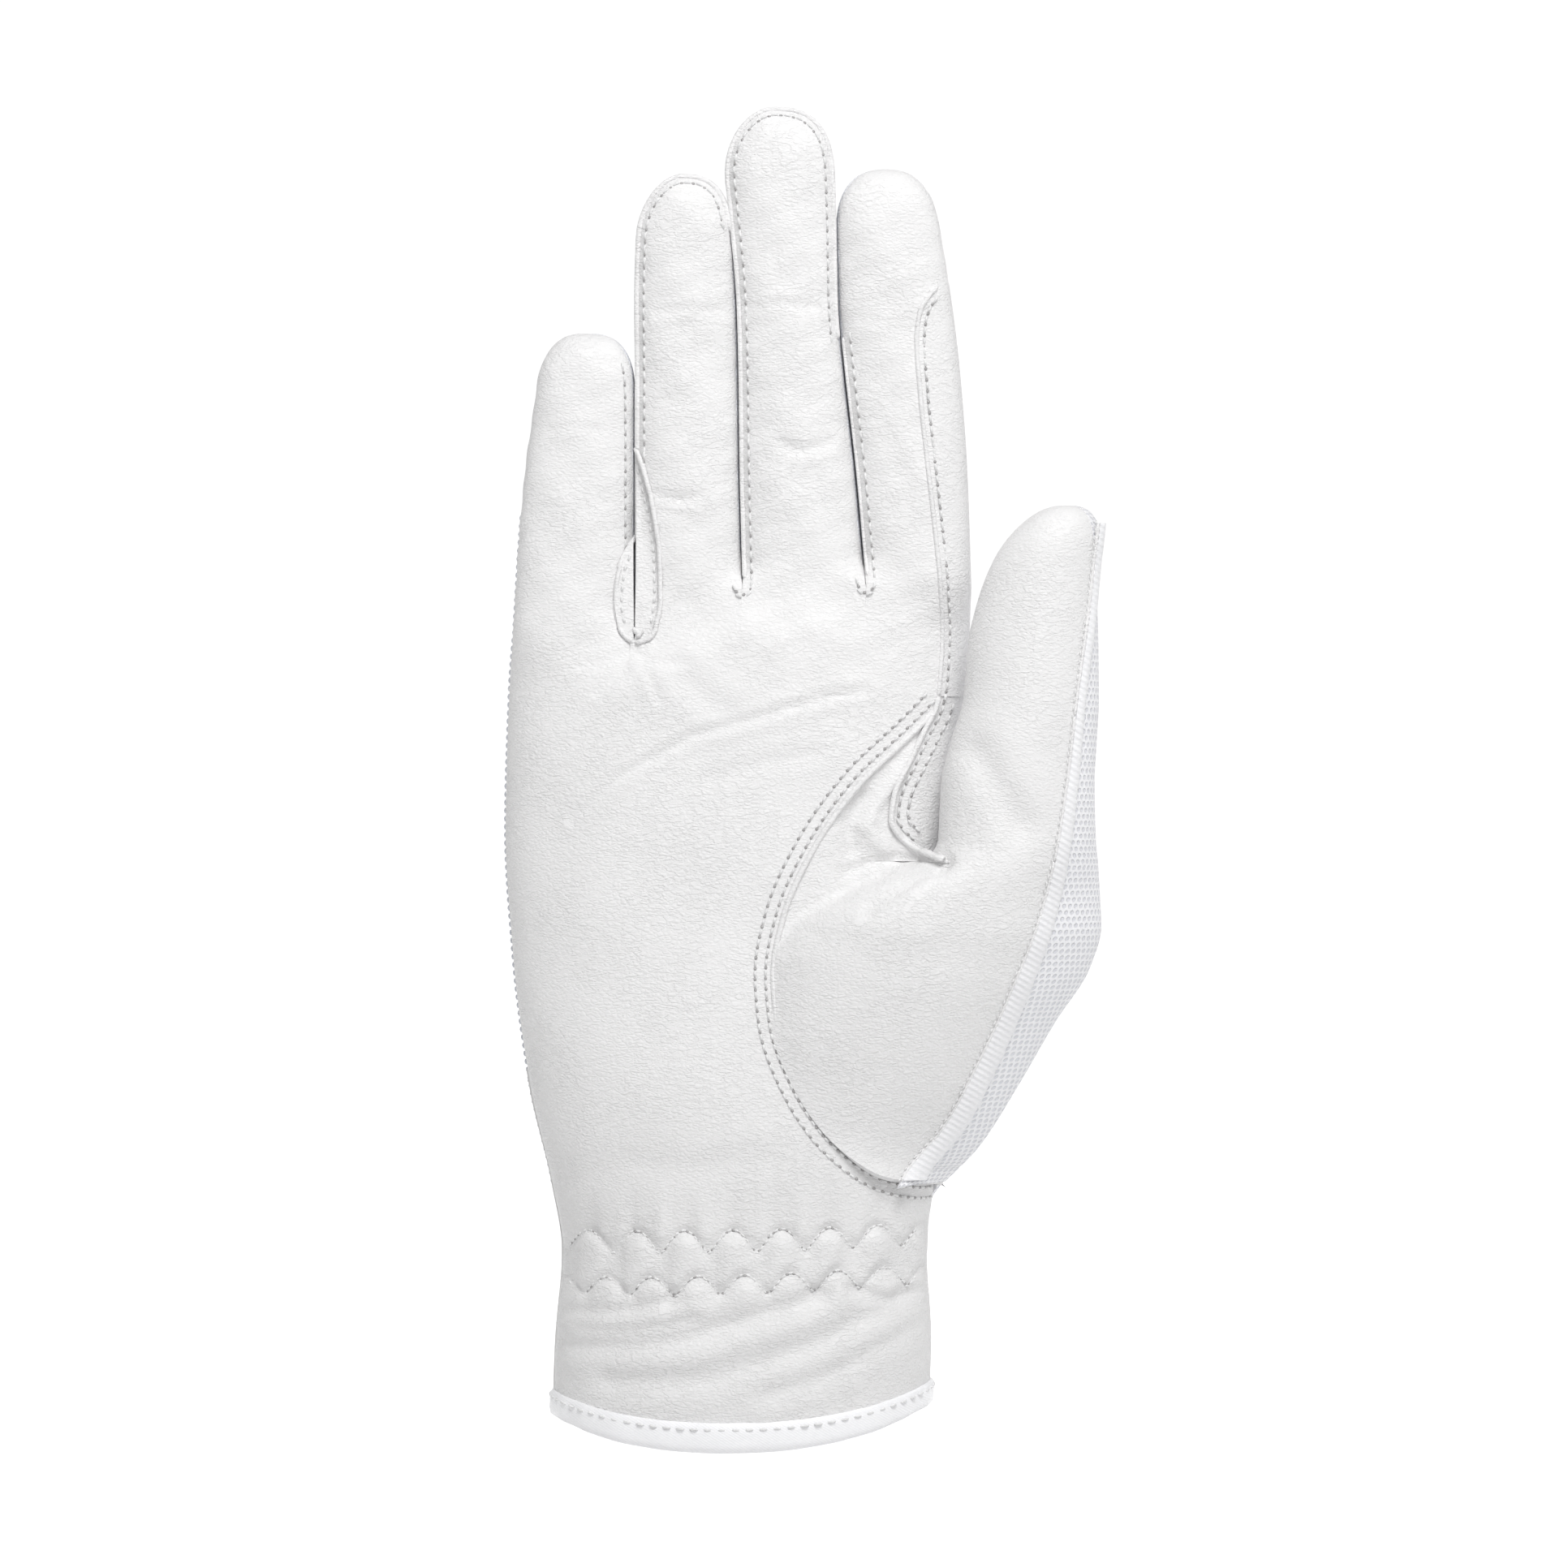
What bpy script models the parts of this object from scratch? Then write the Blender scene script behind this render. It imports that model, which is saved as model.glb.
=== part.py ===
"""Golf glove for the right hand, standing fingers up with its palm towards -Y and its thumb towards +X.

The origin is the centre of the wrist opening. Lengths in the tables are millimetres, and MM turns
them into metres when a mesh is made. Every panel is a thin shell cut from one of three tubes: the
hand, a finger or the thumb. A tube is read by an angle, with 0 at +X, 90 degrees at the palm side
(-Y) and 180 degrees at -X, and by a height. Where a finger bends, a soft sleeve joins two stiff
panels.
"""
import math

import bmesh
import bpy
import numpy as np

MM = 0.001

# Driving dimensions
LEATHER = 0.9
KNIT = 0.9
GAP = 0.36
LINER_GAP = 0.8
SEAM_SIDE = 182.0
BACK_RIGHT = 340.0
FRONT_START, FRONT_END = 45.0, 135.0

HEM_HEIGHT = 5.0
HEM_RISE_SIDE, HEM_RISE_BACK = 6.0, 3.0
HEM_FADE = 26.0
WRIST_TOP = 45.4
SLIT_TOP = 64.0
SLIT_HALF = 1.6
FACINGS = (("little", -3.6, 0.0), ("thumb", 0.2, 3.6))
FACING_WALL = 0.7
BACK_END_BY_THUMB, WRIST_END_BY_THUMB = 30.0, 28.0
BINDING_WALL, BINDING_LIFT = 1.6, 0.3
BINDING_START, BINDING_END = -84.0, 264.0
ELASTIC_LOW, ELASTIC_HIGH = 26.0, 39.0
ELASTIC_START, ELASTIC_END = 10.0, 170.0
GUSSET_X, GUSSET_FOOT, GUSSET_SPREAD = -17.9, 131.5, 0.42
GUSSET_ROWS = (133.5, 138.0, 142.5)
HAND_TOP = 144.0
LITTLE_DROP = 4.5
LITTLE_SIDE = (-22.0, -16.0)
SECTION_POWER = 2.3
TIP_POWER = 2.6

# Height, left edge, right edge, depth to the palm side, depth to the back
HAND = (
    (0.0, -31.5, 31.2, 19.0, 19.0),
    (15.0, -31.2, 31.5, 19.0, 19.0),
    (35.0, -30.1, 30.8, 18.5, 18.5),
    (46.0, -31.8, 32.0, 18.0, 18.0),
    (62.0, -35.5, 33.0, 16.5, 17.0),
    (84.0, -38.4, 34.0, 15.0, 16.0),
    (105.0, -39.6, 35.2, 14.0, 15.0),
    (127.0, -39.0, 37.6, 12.5, 13.5),
    (144.0, -37.7, 38.2, 11.0, 12.0),
)

# Height, centre, half width, depth centre, half depth; then where the two bends start and end
FINGERS = {
    "little": {
        "tube": ((140, -29.3, 8.4, 0.0, 8.2), (165, -27.1, 8.9, 0.0, 7.6), (178, -26.1, 8.0, -0.4, 7.0)),
        "tip": 187.4,
        "knuckle": (140.4, 155.6),
        "middle": (158.4, 172.6),
    },
    "ring": {
        "tube": ((145, -9.2, 8.8, 0.0, 8.8), (175, -9.5, 8.3, 0.0, 8.2), (203, -9.7, 8.0, -1.0, 7.2)),
        "tip": 213.7,
        "knuckle": (145.2, 162.8),
        "middle": (172.2, 189.8),
    },
    "middle": {
        "tube": ((145, 10.3, 9.9, 0.0, 8.9), (181, 8.0, 8.2, 0.0, 8.4), (213, 5.7, 8.2, -1.2, 7.6)),
        "tip": 225.0,
        "knuckle": (145.2, 162.8),
        "middle": (176.2, 193.8),
    },
    "index": {
        "tube": ((145, 29.4, 8.7, 0.0, 8.9), (175, 27.1, 9.1, 0.0, 8.3), (204, 24.1, 8.3, -1.0, 7.4)),
        "tip": 214.8,
        "knuckle": (145.2, 162.8),
        "middle": (173.2, 190.8),
    },
}
TIP_ROUND = 11.0
TIP_ROWS = (TIP_ROUND, 5.5, 2.2, 0.6, 0.0)

# Free thumb, above the crotch
THUMB = ((100, 46.0, 12.8, -10.5, 10.5), (113, 46.0, 12.6, -10.5, 10.3), (127, 47.8, 11.0, -10.5, 9.8),
         (140, 48.4, 10.2, -11.0, 9.0), (149, 50.4, 8.8, -11.5, 8.4))
THUMB_TIP = 158.3
THUMB_CROTCH = 99.6
THUMB_KNUCKLE = (100.2, 118.8)
THUMB_MIDDLE = (128.2, 145.8)
THUMB_SEAM = 24.0

# Root of the thumb: height, palm seam, mesh seam, outer edge, palm surface depth, bulge
THUMB_ROOT = (
    (47.0, 25.0, 26.4, 35.0, 16.6, 1.6),
    (52.2, 16.3, 31.2, 39.5, 16.6, 4.0),
    (61.7, 9.5, 36.9, 45.4, 16.4, 7.4),
    (72.5, 5.4, 41.6, 51.8, 15.8, 10.0),
    (80.6, 5.0, 45.3, 56.6, 15.4, 11.0),
    (90.1, 6.8, 48.8, 59.5, 14.8, 11.3),
    (99.2, 11.0, 51.2, 59.1, 14.2, 11.2),
)
ROOT_RIGHT_DEPTH = -5.0
ROOT_BACK_DEPTH = 9.0
ROOT_BACK_END = 36.0

# Palm seam above the thumb: height, edge of the palm, edge of the index side panel
CROTCH_SEAM = ((100.0, 12.0, 28.2), (106.4, 15.6, 24.9), (112.5, 19.9, 25.9), (118.5, 26.0, 29.0))
INDEX_SEAM = 32.5
INDEX_SEAM_FOOT = 124.0
INDEX_BACK = 335.0

TAB_HINGE = 12.0
TAB_FREE_END = -24.0
TAB_ANCHOR_END = 21.0
TAB_LOW, TAB_HIGH = 25.0, 50.0
PATCH = (-21.0, -3.5, 28.0, 47.0)
PATCH_WALL = 0.7
PATCH_INSET = 0.5
TAB_WALL = 1.2
ANCHOR_WALL = 1.0
LOOP_LIFT, ANCHOR_LIFT, HOOK_LIFT, TAB_LIFT = 1.0, 1.4, 2.1, 3.6
TAB_AXIS_LIFT = 2.6

WHITE_LEATHER = (0.86, 0.86, 0.85)
WHITE_KNIT = (0.84, 0.85, 0.88)
WHITE_SATIN = (0.90, 0.90, 0.92)
ELASTIC = (0.80, 0.80, 0.80)


def clear_scene():
    for item in list(bpy.data.objects):
        bpy.data.objects.remove(item, do_unlink=True)


def at(stations, height):
    """Every column of a station table at one height."""
    table = np.array(stations)
    return [float(np.interp(height, table[:, 0], column)) for column in table[:, 1:].T]


def ramp(value, start, end):
    t = min(1.0, max(0.0, (value - start) / (end - start)))
    return t * t * (3.0 - 2.0 * t)


def swell(value, power):
    return math.copysign(abs(value) ** (2.0 / power), value)


def hand_point(angle, height, depth=0.0):
    left, right, front, back = at(HAND, height)
    centre, half = (left + right) / 2, (right - left) / 2
    turn = math.radians(angle)
    cosine, sine = math.cos(turn), math.sin(turn)
    x = centre + (half - depth) * swell(cosine, SECTION_POWER)
    reach = front if sine > 0 else back
    y = -(reach - depth) * swell(sine, SECTION_POWER)
    rise = HEM_RISE_SIDE * cosine**2 + (HEM_RISE_BACK * sine**2 if sine < 0 else 0.0)
    lift = rise * max(0.0, 1.0 - (height - HEM_HEIGHT) / HEM_FADE)
    drop = LITTLE_DROP * (1.0 - ramp(x, *LITTLE_SIDE)) * ramp(height, HAND_TOP - 24.0, HAND_TOP)
    return x, y, height + lift - drop


def hand_angle(height, x, back=False):
    """Angle of the hand tube where its surface passes a given x."""
    left, right, _, _ = at(HAND, height)
    centre, half = (left + right) / 2, (right - left) / 2
    share = max(-1.0, min(1.0, (x - centre) / half))
    angle = math.degrees(math.acos(math.copysign(abs(share) ** (SECTION_POWER / 2.0), share)))
    return 360.0 - angle if back else angle


def tube_point(stations, tip, angle, height, depth=0.0):
    """A finger or thumb: an ellipse at each height, closed by a round tip."""
    top = tip - depth
    height = min(height, top)
    centre, half_width, middle, half_depth = at(stations, height)
    reach = max(0.0, (height - (tip - TIP_ROUND)) / (top - (tip - TIP_ROUND)))
    scale = (1.0 - min(1.0, reach) ** TIP_POWER) ** (1.0 / TIP_POWER)
    turn = math.radians(angle)
    x = centre + (half_width - depth) * scale * math.cos(turn)
    y = middle - (half_depth - depth) * scale * math.sin(turn)
    return x, y, height


def thumb_root_point(angle, height, depth=0.0):
    """Ball of the thumb: it starts on the palm seam and swells round to the outer edge."""
    left, _, right, palm, bulge = at(THUMB_ROOT, height)
    centre, half = (left + right) / 2, (right - left) / 2
    turn = math.radians(angle)
    cosine, sine = math.cos(turn), math.sin(turn)
    x = centre + (half - depth) * cosine
    share = (1.0 + cosine) / 2
    chord = -palm * (1.0 - share) + ROOT_RIGHT_DEPTH * share
    reach = bulge - depth if sine > 0 else ROOT_BACK_DEPTH - depth
    return x, chord - reach * sine + (depth * (1.0 - share) if sine > 0 else 0.0), height


def make_object(name, mesh, colour, roughness):
    material = bpy.data.materials.new(name + "_finish")
    material.use_nodes = True
    shader = material.node_tree.nodes["Principled BSDF"]
    shader.inputs["Base Color"].default_value = (*colour, 1.0)
    shader.inputs["Roughness"].default_value = roughness
    shader.inputs["Metallic"].default_value = 0.0
    mesh.materials.append(material)
    item = bpy.data.objects.new(name, mesh)
    bpy.context.collection.objects.link(item)
    return item


def add_shell(built, outer, inner, closed):
    """Two grids of points, joined round their edges into one closed wall."""
    faces = []
    grids = [[[built.verts.new([c * MM for c in p]) for p in row] for row in grid] for grid in (outer, inner)]
    rows, columns = len(outer), len(outer[0])
    spans = columns if closed else columns - 1
    skin, lining = grids
    for r in range(rows - 1):
        for c in range(spans):
            n = (c + 1) % columns
            faces.append((skin[r][c], skin[r][n], skin[r + 1][n], skin[r + 1][c]))
            faces.append((lining[r][c], lining[r + 1][c], lining[r + 1][n], lining[r][n]))
    for r, flip in ((0, True), (rows - 1, False)):
        for c in range(spans):
            n = (c + 1) % columns
            quad = (skin[r][c], skin[r][n], lining[r][n], lining[r][c])
            faces.append(quad[::-1] if flip else quad)
    if not closed:
        for c, flip in ((0, False), (columns - 1, True)):
            for r in range(rows - 1):
                quad = (skin[r][c], skin[r + 1][c], lining[r + 1][c], lining[r][c])
                faces.append(quad[::-1] if flip else quad)
    for face in faces:
        built.faces.new(face)


def finish_mesh(name, built):
    bmesh.ops.remove_doubles(built, verts=built.verts, dist=1e-6)
    bmesh.ops.dissolve_degenerate(built, edges=built.edges, dist=1e-6)
    bmesh.ops.recalc_face_normals(built, faces=built.faces)
    bmesh.ops.triangulate(built, faces=built.faces)
    mesh = bpy.data.meshes.new(name)
    built.to_mesh(mesh)
    built.free()
    mesh.shade_smooth()
    return mesh


def panel(name, surface, heights, angles, columns, wall, colour, roughness=0.6, closed=False, lift=0.0):
    """One panel. angles(height) gives its first and last angle, and lift raises it off its tube."""
    outer, inner = [], []
    for height in heights:
        first, last = angles(height)
        steps = np.linspace(first, last, columns + 1)
        steps = steps[:-1] if closed else steps
        outer.append([surface(a, height, -lift) for a in steps])
        inner.append([surface(a, height, wall - lift) for a in steps])
    built = bmesh.new()
    add_shell(built, outer, inner, closed)
    return make_object(name, finish_mesh(name, built), colour, roughness)


def heights(low, high, rows):
    return list(np.linspace(low, high, rows + 1))


def always(first, last):
    return lambda height: (first, last)


def place_on_axis(items, pivot):
    """Put the origin of moving pieces on their joint's axis, leaving their shape where it is."""
    for item in items:
        for vertex in item.data.vertices:
            vertex.co.x -= pivot[0] * MM
            vertex.co.y -= pivot[1] * MM
            vertex.co.z -= pivot[2] * MM
        item.location = [p * MM for p in pivot]


def palm_edge(height):
    """Where the palm leather ends on the thumb side: its angle on the hand tube."""
    if height <= WRIST_TOP - 2.0:
        return BACK_RIGHT - 360.0
    if height >= INDEX_SEAM_FOOT:
        edge = INDEX_SEAM
    elif height > THUMB_ROOT[-1][0]:
        edge = at(CROTCH_SEAM + ((INDEX_SEAM_FOOT, INDEX_SEAM, INDEX_SEAM),), height)[0]
    else:
        edge = at(THUMB_ROOT, height)[0]
    return hand_angle(height, edge - GAP)


def build_hand():
    palm_rows = [HEM_HEIGHT + 0.6, 16, 29, WRIST_TOP - 2.0, 46.4, 52.2, 61.7, 72.5, 80.6, 90.1, 99.2,
                 106.4, 112.5, 118.5, INDEX_SEAM_FOOT, 134, HAND_TOP]
    panel("palm_panel", hand_point, palm_rows, lambda h: (palm_edge(h), SEAM_SIDE), 12, LEATHER,
          WHITE_LEATHER)

    side_gap = math.degrees(2 * GAP / HAND[-1][3]) / 2
    index_rows = [101.5, 106.4, 112.5, 118.5, INDEX_SEAM_FOOT, 134, HAND_TOP]

    def index_edge(height):
        seams = CROTCH_SEAM + ((INDEX_SEAM_FOOT, INDEX_SEAM, INDEX_SEAM), (HAND_TOP, INDEX_SEAM, INDEX_SEAM))
        return INDEX_BACK - 360.0, hand_angle(height, at(seams, height)[1] + GAP)

    panel("index_side_panel", hand_point, index_rows, index_edge, 4, LEATHER, WHITE_LEATHER)

    def crotch_edges(height):
        palm, side = at(CROTCH_SEAM, height)
        return hand_angle(height, side - GAP), hand_angle(height, palm + GAP)

    panel("thumb_crotch_leather", hand_point, [101.5, 106.4, 112.5, 118.5], crotch_edges, 3, LEATHER,
          WHITE_LEATHER)

    back_start = SEAM_SIDE + side_gap
    back_rows = [SLIT_TOP + GAP, 84, 100, 116, 130, HAND_TOP]

    def back_edges(height):
        end = (INDEX_BACK - side_gap if height > THUMB_CROTCH
               else hand_angle(height, BACK_END_BY_THUMB, back=True))
        return back_start, end

    panel("back_mesh_panel", hand_point, back_rows, back_edges, 9, KNIT, WHITE_KNIT, 0.8)
    wrist_rows = [HEM_HEIGHT + 0.6, 16, 30, WRIST_TOP - 2.0]
    tall_rows = wrist_rows + [WRIST_TOP + 2.0, SLIT_TOP]

    def thumb_side(height):
        end = (BACK_RIGHT - side_gap if height < WRIST_TOP
               else hand_angle(height, WRIST_END_BY_THUMB, back=True))
        return hand_angle(height, SLIT_HALF, back=True), end

    panel("back_wrist_thumb_side", hand_point, tall_rows, thumb_side, 4, LEATHER, WHITE_LEATHER)
    panel("back_wrist_little_side", hand_point, tall_rows,
          lambda h: (back_start, hand_angle(h, -SLIT_HALF, back=True)), 5, LEATHER, WHITE_LEATHER)
    placket_rows = [HEM_HEIGHT + 0.6, 20, 40, SLIT_TOP - 1.0]
    for side, near, far in FACINGS:
        panel("placket_facing_" + side + "_side", hand_point, placket_rows,
              lambda h, a=near, b=far: (hand_angle(h, a, back=True), hand_angle(h, b, back=True)),
              1, FACING_WALL, WHITE_LEATHER, lift=-LEATHER - LINER_GAP)
    panel("hem_binding", hand_point, [0.0, HEM_HEIGHT], always(BINDING_START, BINDING_END), 28, BINDING_WALL,
          WHITE_SATIN, 0.35, lift=BINDING_LIFT)
    panel("wrist_elastic", hand_point, [ELASTIC_LOW, ELASTIC_HIGH], always(ELASTIC_START, ELASTIC_END), 10,
          PATCH_WALL, ELASTIC, 0.7, lift=-LEATHER - LINER_GAP)

    def gusset_edges(height):
        spread = GUSSET_SPREAD * (height - GUSSET_FOOT)
        return hand_angle(height, GUSSET_X + spread), hand_angle(height, GUSSET_X - spread)

    panel("little_ring_gusset", hand_point, GUSSET_ROWS, gusset_edges, 2, PATCH_WALL, WHITE_LEATHER,
          lift=PATCH_WALL + GAP)


def build_thumb_root():
    def leather_edges(height):
        left, seam, right, _, _ = at(THUMB_ROOT, height)
        centre, half = (left + right) / 2, (right - left) / 2
        return math.degrees(math.acos((seam - GAP - centre) / half)), 176.0

    def mesh_edges(height):
        left, seam, right, _, _ = at(THUMB_ROOT, height)
        centre, half = (left + right) / 2, (right - left) / 2
        last = math.degrees(math.acos((seam + GAP - centre) / half))
        end = max(ROOT_BACK_END, centre + 1.0) if right > ROOT_BACK_END + 4.0 else right - 3.0
        return -math.degrees(math.acos((end - centre) / half)), last

    rows = [station[0] for station in THUMB_ROOT]
    panel("thumb_base_leather", thumb_root_point, rows, leather_edges, 7, LEATHER, WHITE_LEATHER)
    panel("thumb_base_mesh", thumb_root_point, rows, mesh_edges, 6, KNIT, WHITE_KNIT, 0.8)


def build_digit(name, stations, tip, knuckle, middle, side_seam, back_colour, back_name):
    """A finger or the thumb above its crotch: sleeve, stiff panels, sleeve, then the two tip panels."""
    def surface(angle, height, depth=0.0):
        return tube_point(stations, tip, angle, height, depth)

    def front(angle, height, depth=0.0):
        x, y, z = surface(angle, height, depth)
        return x, y - GAP / 2, z

    def back(angle, height, depth=0.0):
        x, y, z = surface(angle, height, depth)
        return x, y + GAP / 2, z

    ring = always(0.0, 360.0)
    for bend, zone in (("knuckle", knuckle), ("middle", middle)):
        panel(name + "_" + bend + "_sleeve", surface, heights(*zone, 2), ring, 14, LEATHER, WHITE_LEATHER,
              closed=True)
    low, high = knuckle[1] + GAP, middle[0] - GAP
    lower = []
    if name == "thumb":
        lower.append(panel("thumb_lower_leather", front, heights(low, high, 1),
                           always(side_seam, 178.0), 6, LEATHER, WHITE_LEATHER))
        lower.append(panel("thumb_lower_mesh", back, heights(low, high, 1),
                           always(182.0, 360.0 + side_seam - 4.0), 8, KNIT, back_colour, 0.8))
    else:
        joint = math.degrees(GAP / stations[0][2])
        sides = (("palm_side", FRONT_START + joint, FRONT_END - joint, WHITE_LEATHER),
                 ("side_left", FRONT_END, 360.0 - FRONT_END, WHITE_KNIT),
                 ("back", 360.0 - FRONT_END + joint, 360.0 - FRONT_START - joint, back_colour),
                 ("side_right", -FRONT_START, FRONT_START, WHITE_KNIT))
        for side, first, last, colour in sides:
            lower.append(panel(name + "_" + side, surface, heights(low, high, 1), always(first, last), 4,
                               LEATHER, colour))
    start = middle[1] + GAP
    rows = [start] + [tip - below for below in TIP_ROWS if tip - below > start]
    upper = [panel(name + "_tip_palm_side", front, rows, always(0.0, 180.0), 8, LEATHER, WHITE_LEATHER),
             panel(name + "_tip_" + back_name, back, rows, always(180.0, 360.0), 8, LEATHER, back_colour)]
    for items, zone in ((lower, knuckle), (upper, middle)):
        height = (zone[0] + zone[1]) / 2
        centre, _, depth, _ = at(stations, height)
        place_on_axis(items, (centre, depth, height))


def build_tab():
    """Closure tab over the slit in the back, with its hook patch, and the loop patch under it."""
    def strip(name, box, lift, wall, colour, columns):
        low_x, high_x, low, high = box

        def edges(height):
            return hand_angle(height, low_x, back=True), hand_angle(height, high_x, back=True)

        return panel(name, hand_point, heights(low, high, 2), edges, columns, wall, colour, lift=lift)

    low_x, high_x, low, high = PATCH
    hooks = (low_x + PATCH_INSET, high_x - PATCH_INSET, low + PATCH_INSET, high - PATCH_INSET)
    anchor = (TAB_HINGE + GAP, TAB_ANCHOR_END, TAB_LOW, TAB_HIGH)
    flap = (TAB_FREE_END, TAB_HINGE - GAP, TAB_LOW, TAB_HIGH)
    strip("loop_patch", PATCH, LOOP_LIFT, PATCH_WALL, ELASTIC, 4)
    strip("tab_anchor", anchor, ANCHOR_LIFT, ANCHOR_WALL, WHITE_LEATHER, 3)
    tab = strip("closure_tab", flap, TAB_LIFT, TAB_WALL, WHITE_LEATHER, 7)
    hook = strip("hook_patch", hooks, HOOK_LIFT, PATCH_WALL, ELASTIC, 4)
    middle = (TAB_LOW + TAB_HIGH) / 2
    x, y, _ = hand_point(hand_angle(middle, TAB_HINGE, back=True), middle, -TAB_AXIS_LIFT)
    place_on_axis((tab, hook), (x, y, middle))


clear_scene()
build_hand()
build_thumb_root()
for finger, plan in FINGERS.items():
    build_digit(finger, plan["tube"], plan["tip"], plan["knuckle"], plan["middle"], None, WHITE_LEATHER,
                "back")
build_digit("thumb", THUMB, THUMB_TIP, THUMB_KNUCKLE, THUMB_MIDDLE, THUMB_SEAM, WHITE_KNIT, "mesh")
build_tab()
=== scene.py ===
"""Golf glove for the right hand, palm towards -Y and thumb towards +X: its leather, mesh and thread.

Lengths are millimetres until a mesh is made. Each panel starts as a flat grid, is laid over the
hand, a finger or the thumb by moving its points, and gets its thickness from Solidify. An angle of
0 is the thumb side, 90 the palm side, 180 the little finger side and 270 the back. Columns of a
grid run with falling angle and rows run up, so that its faces point outwards.
"""
import math

import bpy
import numpy as np
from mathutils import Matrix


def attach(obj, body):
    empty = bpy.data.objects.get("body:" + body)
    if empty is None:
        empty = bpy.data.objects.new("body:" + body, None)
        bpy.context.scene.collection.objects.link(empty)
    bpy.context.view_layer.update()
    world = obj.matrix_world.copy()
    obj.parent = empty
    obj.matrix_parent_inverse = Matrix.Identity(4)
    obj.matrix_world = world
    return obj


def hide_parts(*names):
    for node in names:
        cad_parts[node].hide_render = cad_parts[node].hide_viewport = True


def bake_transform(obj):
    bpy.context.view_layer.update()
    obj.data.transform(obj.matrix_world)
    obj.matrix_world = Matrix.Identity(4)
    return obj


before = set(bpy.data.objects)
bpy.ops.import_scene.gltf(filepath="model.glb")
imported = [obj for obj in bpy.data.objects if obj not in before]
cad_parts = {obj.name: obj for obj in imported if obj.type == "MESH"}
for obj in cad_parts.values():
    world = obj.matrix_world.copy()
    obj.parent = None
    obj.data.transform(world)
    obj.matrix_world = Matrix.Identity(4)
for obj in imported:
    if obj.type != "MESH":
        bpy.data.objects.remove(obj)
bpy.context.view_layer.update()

MM = 0.001
WALL = 0.8
SECTION_POWER = 2.3
TIP_POWER = 2.6
SIDE_ANGLE = 16.0
SEAM_RISE = 7.0
SLIT_HALF = 0.02
STITCH_INSET = 1.6
LIP_INSET = 0.5
ROW = 0.7

HEM_LOW, HEM_TOP = 0.2, 5.2
HEM_BASE, HEM_RISE, HEM_TILT, HEM_BACK = 2.0, 4.8, 0.8, 1.5
HEM_FADE = 26.0
WRIST_SIDE_TOP = 43.0
PALM_TOP = 127.0
BACK_FOOT = 64.0
PALM_BLEND = 11.0

# Stitch pitches, and radii of the rolled lips and piping
EDGE_PITCH, STRIP_PITCH, THUMB_SEAM_PITCH, THUMB_PITCH = 2.1, 1.9, 1.75, 1.3
GUSSET_PITCH, TURN_PITCH, TAB_PITCH, HEM_PITCH = 1.7, 2.0, 2.0, 2.3
ZIGZAG_PITCH, KNIT_PITCH = 1.25, 1.35
PALM_LIP, BACK_LIP, OPENING_LIP, THUMB_LIP, PIPING = 0.5, 0.45, 0.35, 0.32, 0.42
PIPING_TOP, PIPING_STITCH_TOP = 194.9, 193.8


# ---------------------------------------------------------------- curves and tubes
def ramp(value, start, end):
    """Rises smoothly from 0 at start to 1 at end."""
    share = np.clip((value - start) / (end - start), 0.0, 1.0)
    return share * share * (3.0 - 2.0 * share)


def hill(distance, width):
    """A smooth bump, 1 in its middle."""
    return np.exp(-((distance / width) ** 2))


def smooth(heights, values):
    """A smooth curve through a few points that never overshoots them."""
    knots, marks = np.array(heights, float), np.array(values, float)
    steps = np.diff(knots)
    slopes = np.diff(marks) / steps
    tangents = np.zeros_like(marks)
    tangents[0], tangents[-1] = slopes[0], slopes[-1]
    for i in range(1, len(marks) - 1):
        if slopes[i - 1] * slopes[i] > 0:
            tangents[i] = 2 * slopes[i - 1] * slopes[i] / (slopes[i - 1] + slopes[i])

    def read(at):
        at = np.clip(at, knots[0], knots[-1])
        i = np.clip(np.searchsorted(knots, at) - 1, 0, len(steps) - 1)
        t = (at - knots[i]) / steps[i]
        rise = tangents[i] * t * (1 - t) ** 2 + tangents[i + 1] * t * t * (t - 1)
        return marks[i] * (1 + 2 * t) * (1 - t) ** 2 + marks[i + 1] * t * t * (3 - 2 * t) + rise * steps[i]

    return read


def columns(rows):
    """One smooth curve for each column after the first, which is the height."""
    table = np.array(rows, float)
    return [smooth(table[:, 0], table[:, i]) for i in range(1, table.shape[1])]


# Height, left edge, right edge, depth to the palm side, depth to the back
HAND = columns((
    (0, -31.6, 31.2, 19.0, 19.0), (15, -31.2, 31.5, 18.6, 19.0), (35, -30.1, 30.8, 18.2, 18.5),
    (46, -31.8, 32.0, 17.6, 18.0), (62, -35.5, 33.0, 16.5, 17.0), (84, -38.4, 34.0, 15.0, 16.0),
    (105, -39.6, 35.2, 14.0, 15.0), (127, -39.0, 37.6, 12.5, 13.5), (146, -37.7, 38.2, 11.0, 12.0),
))

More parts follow.
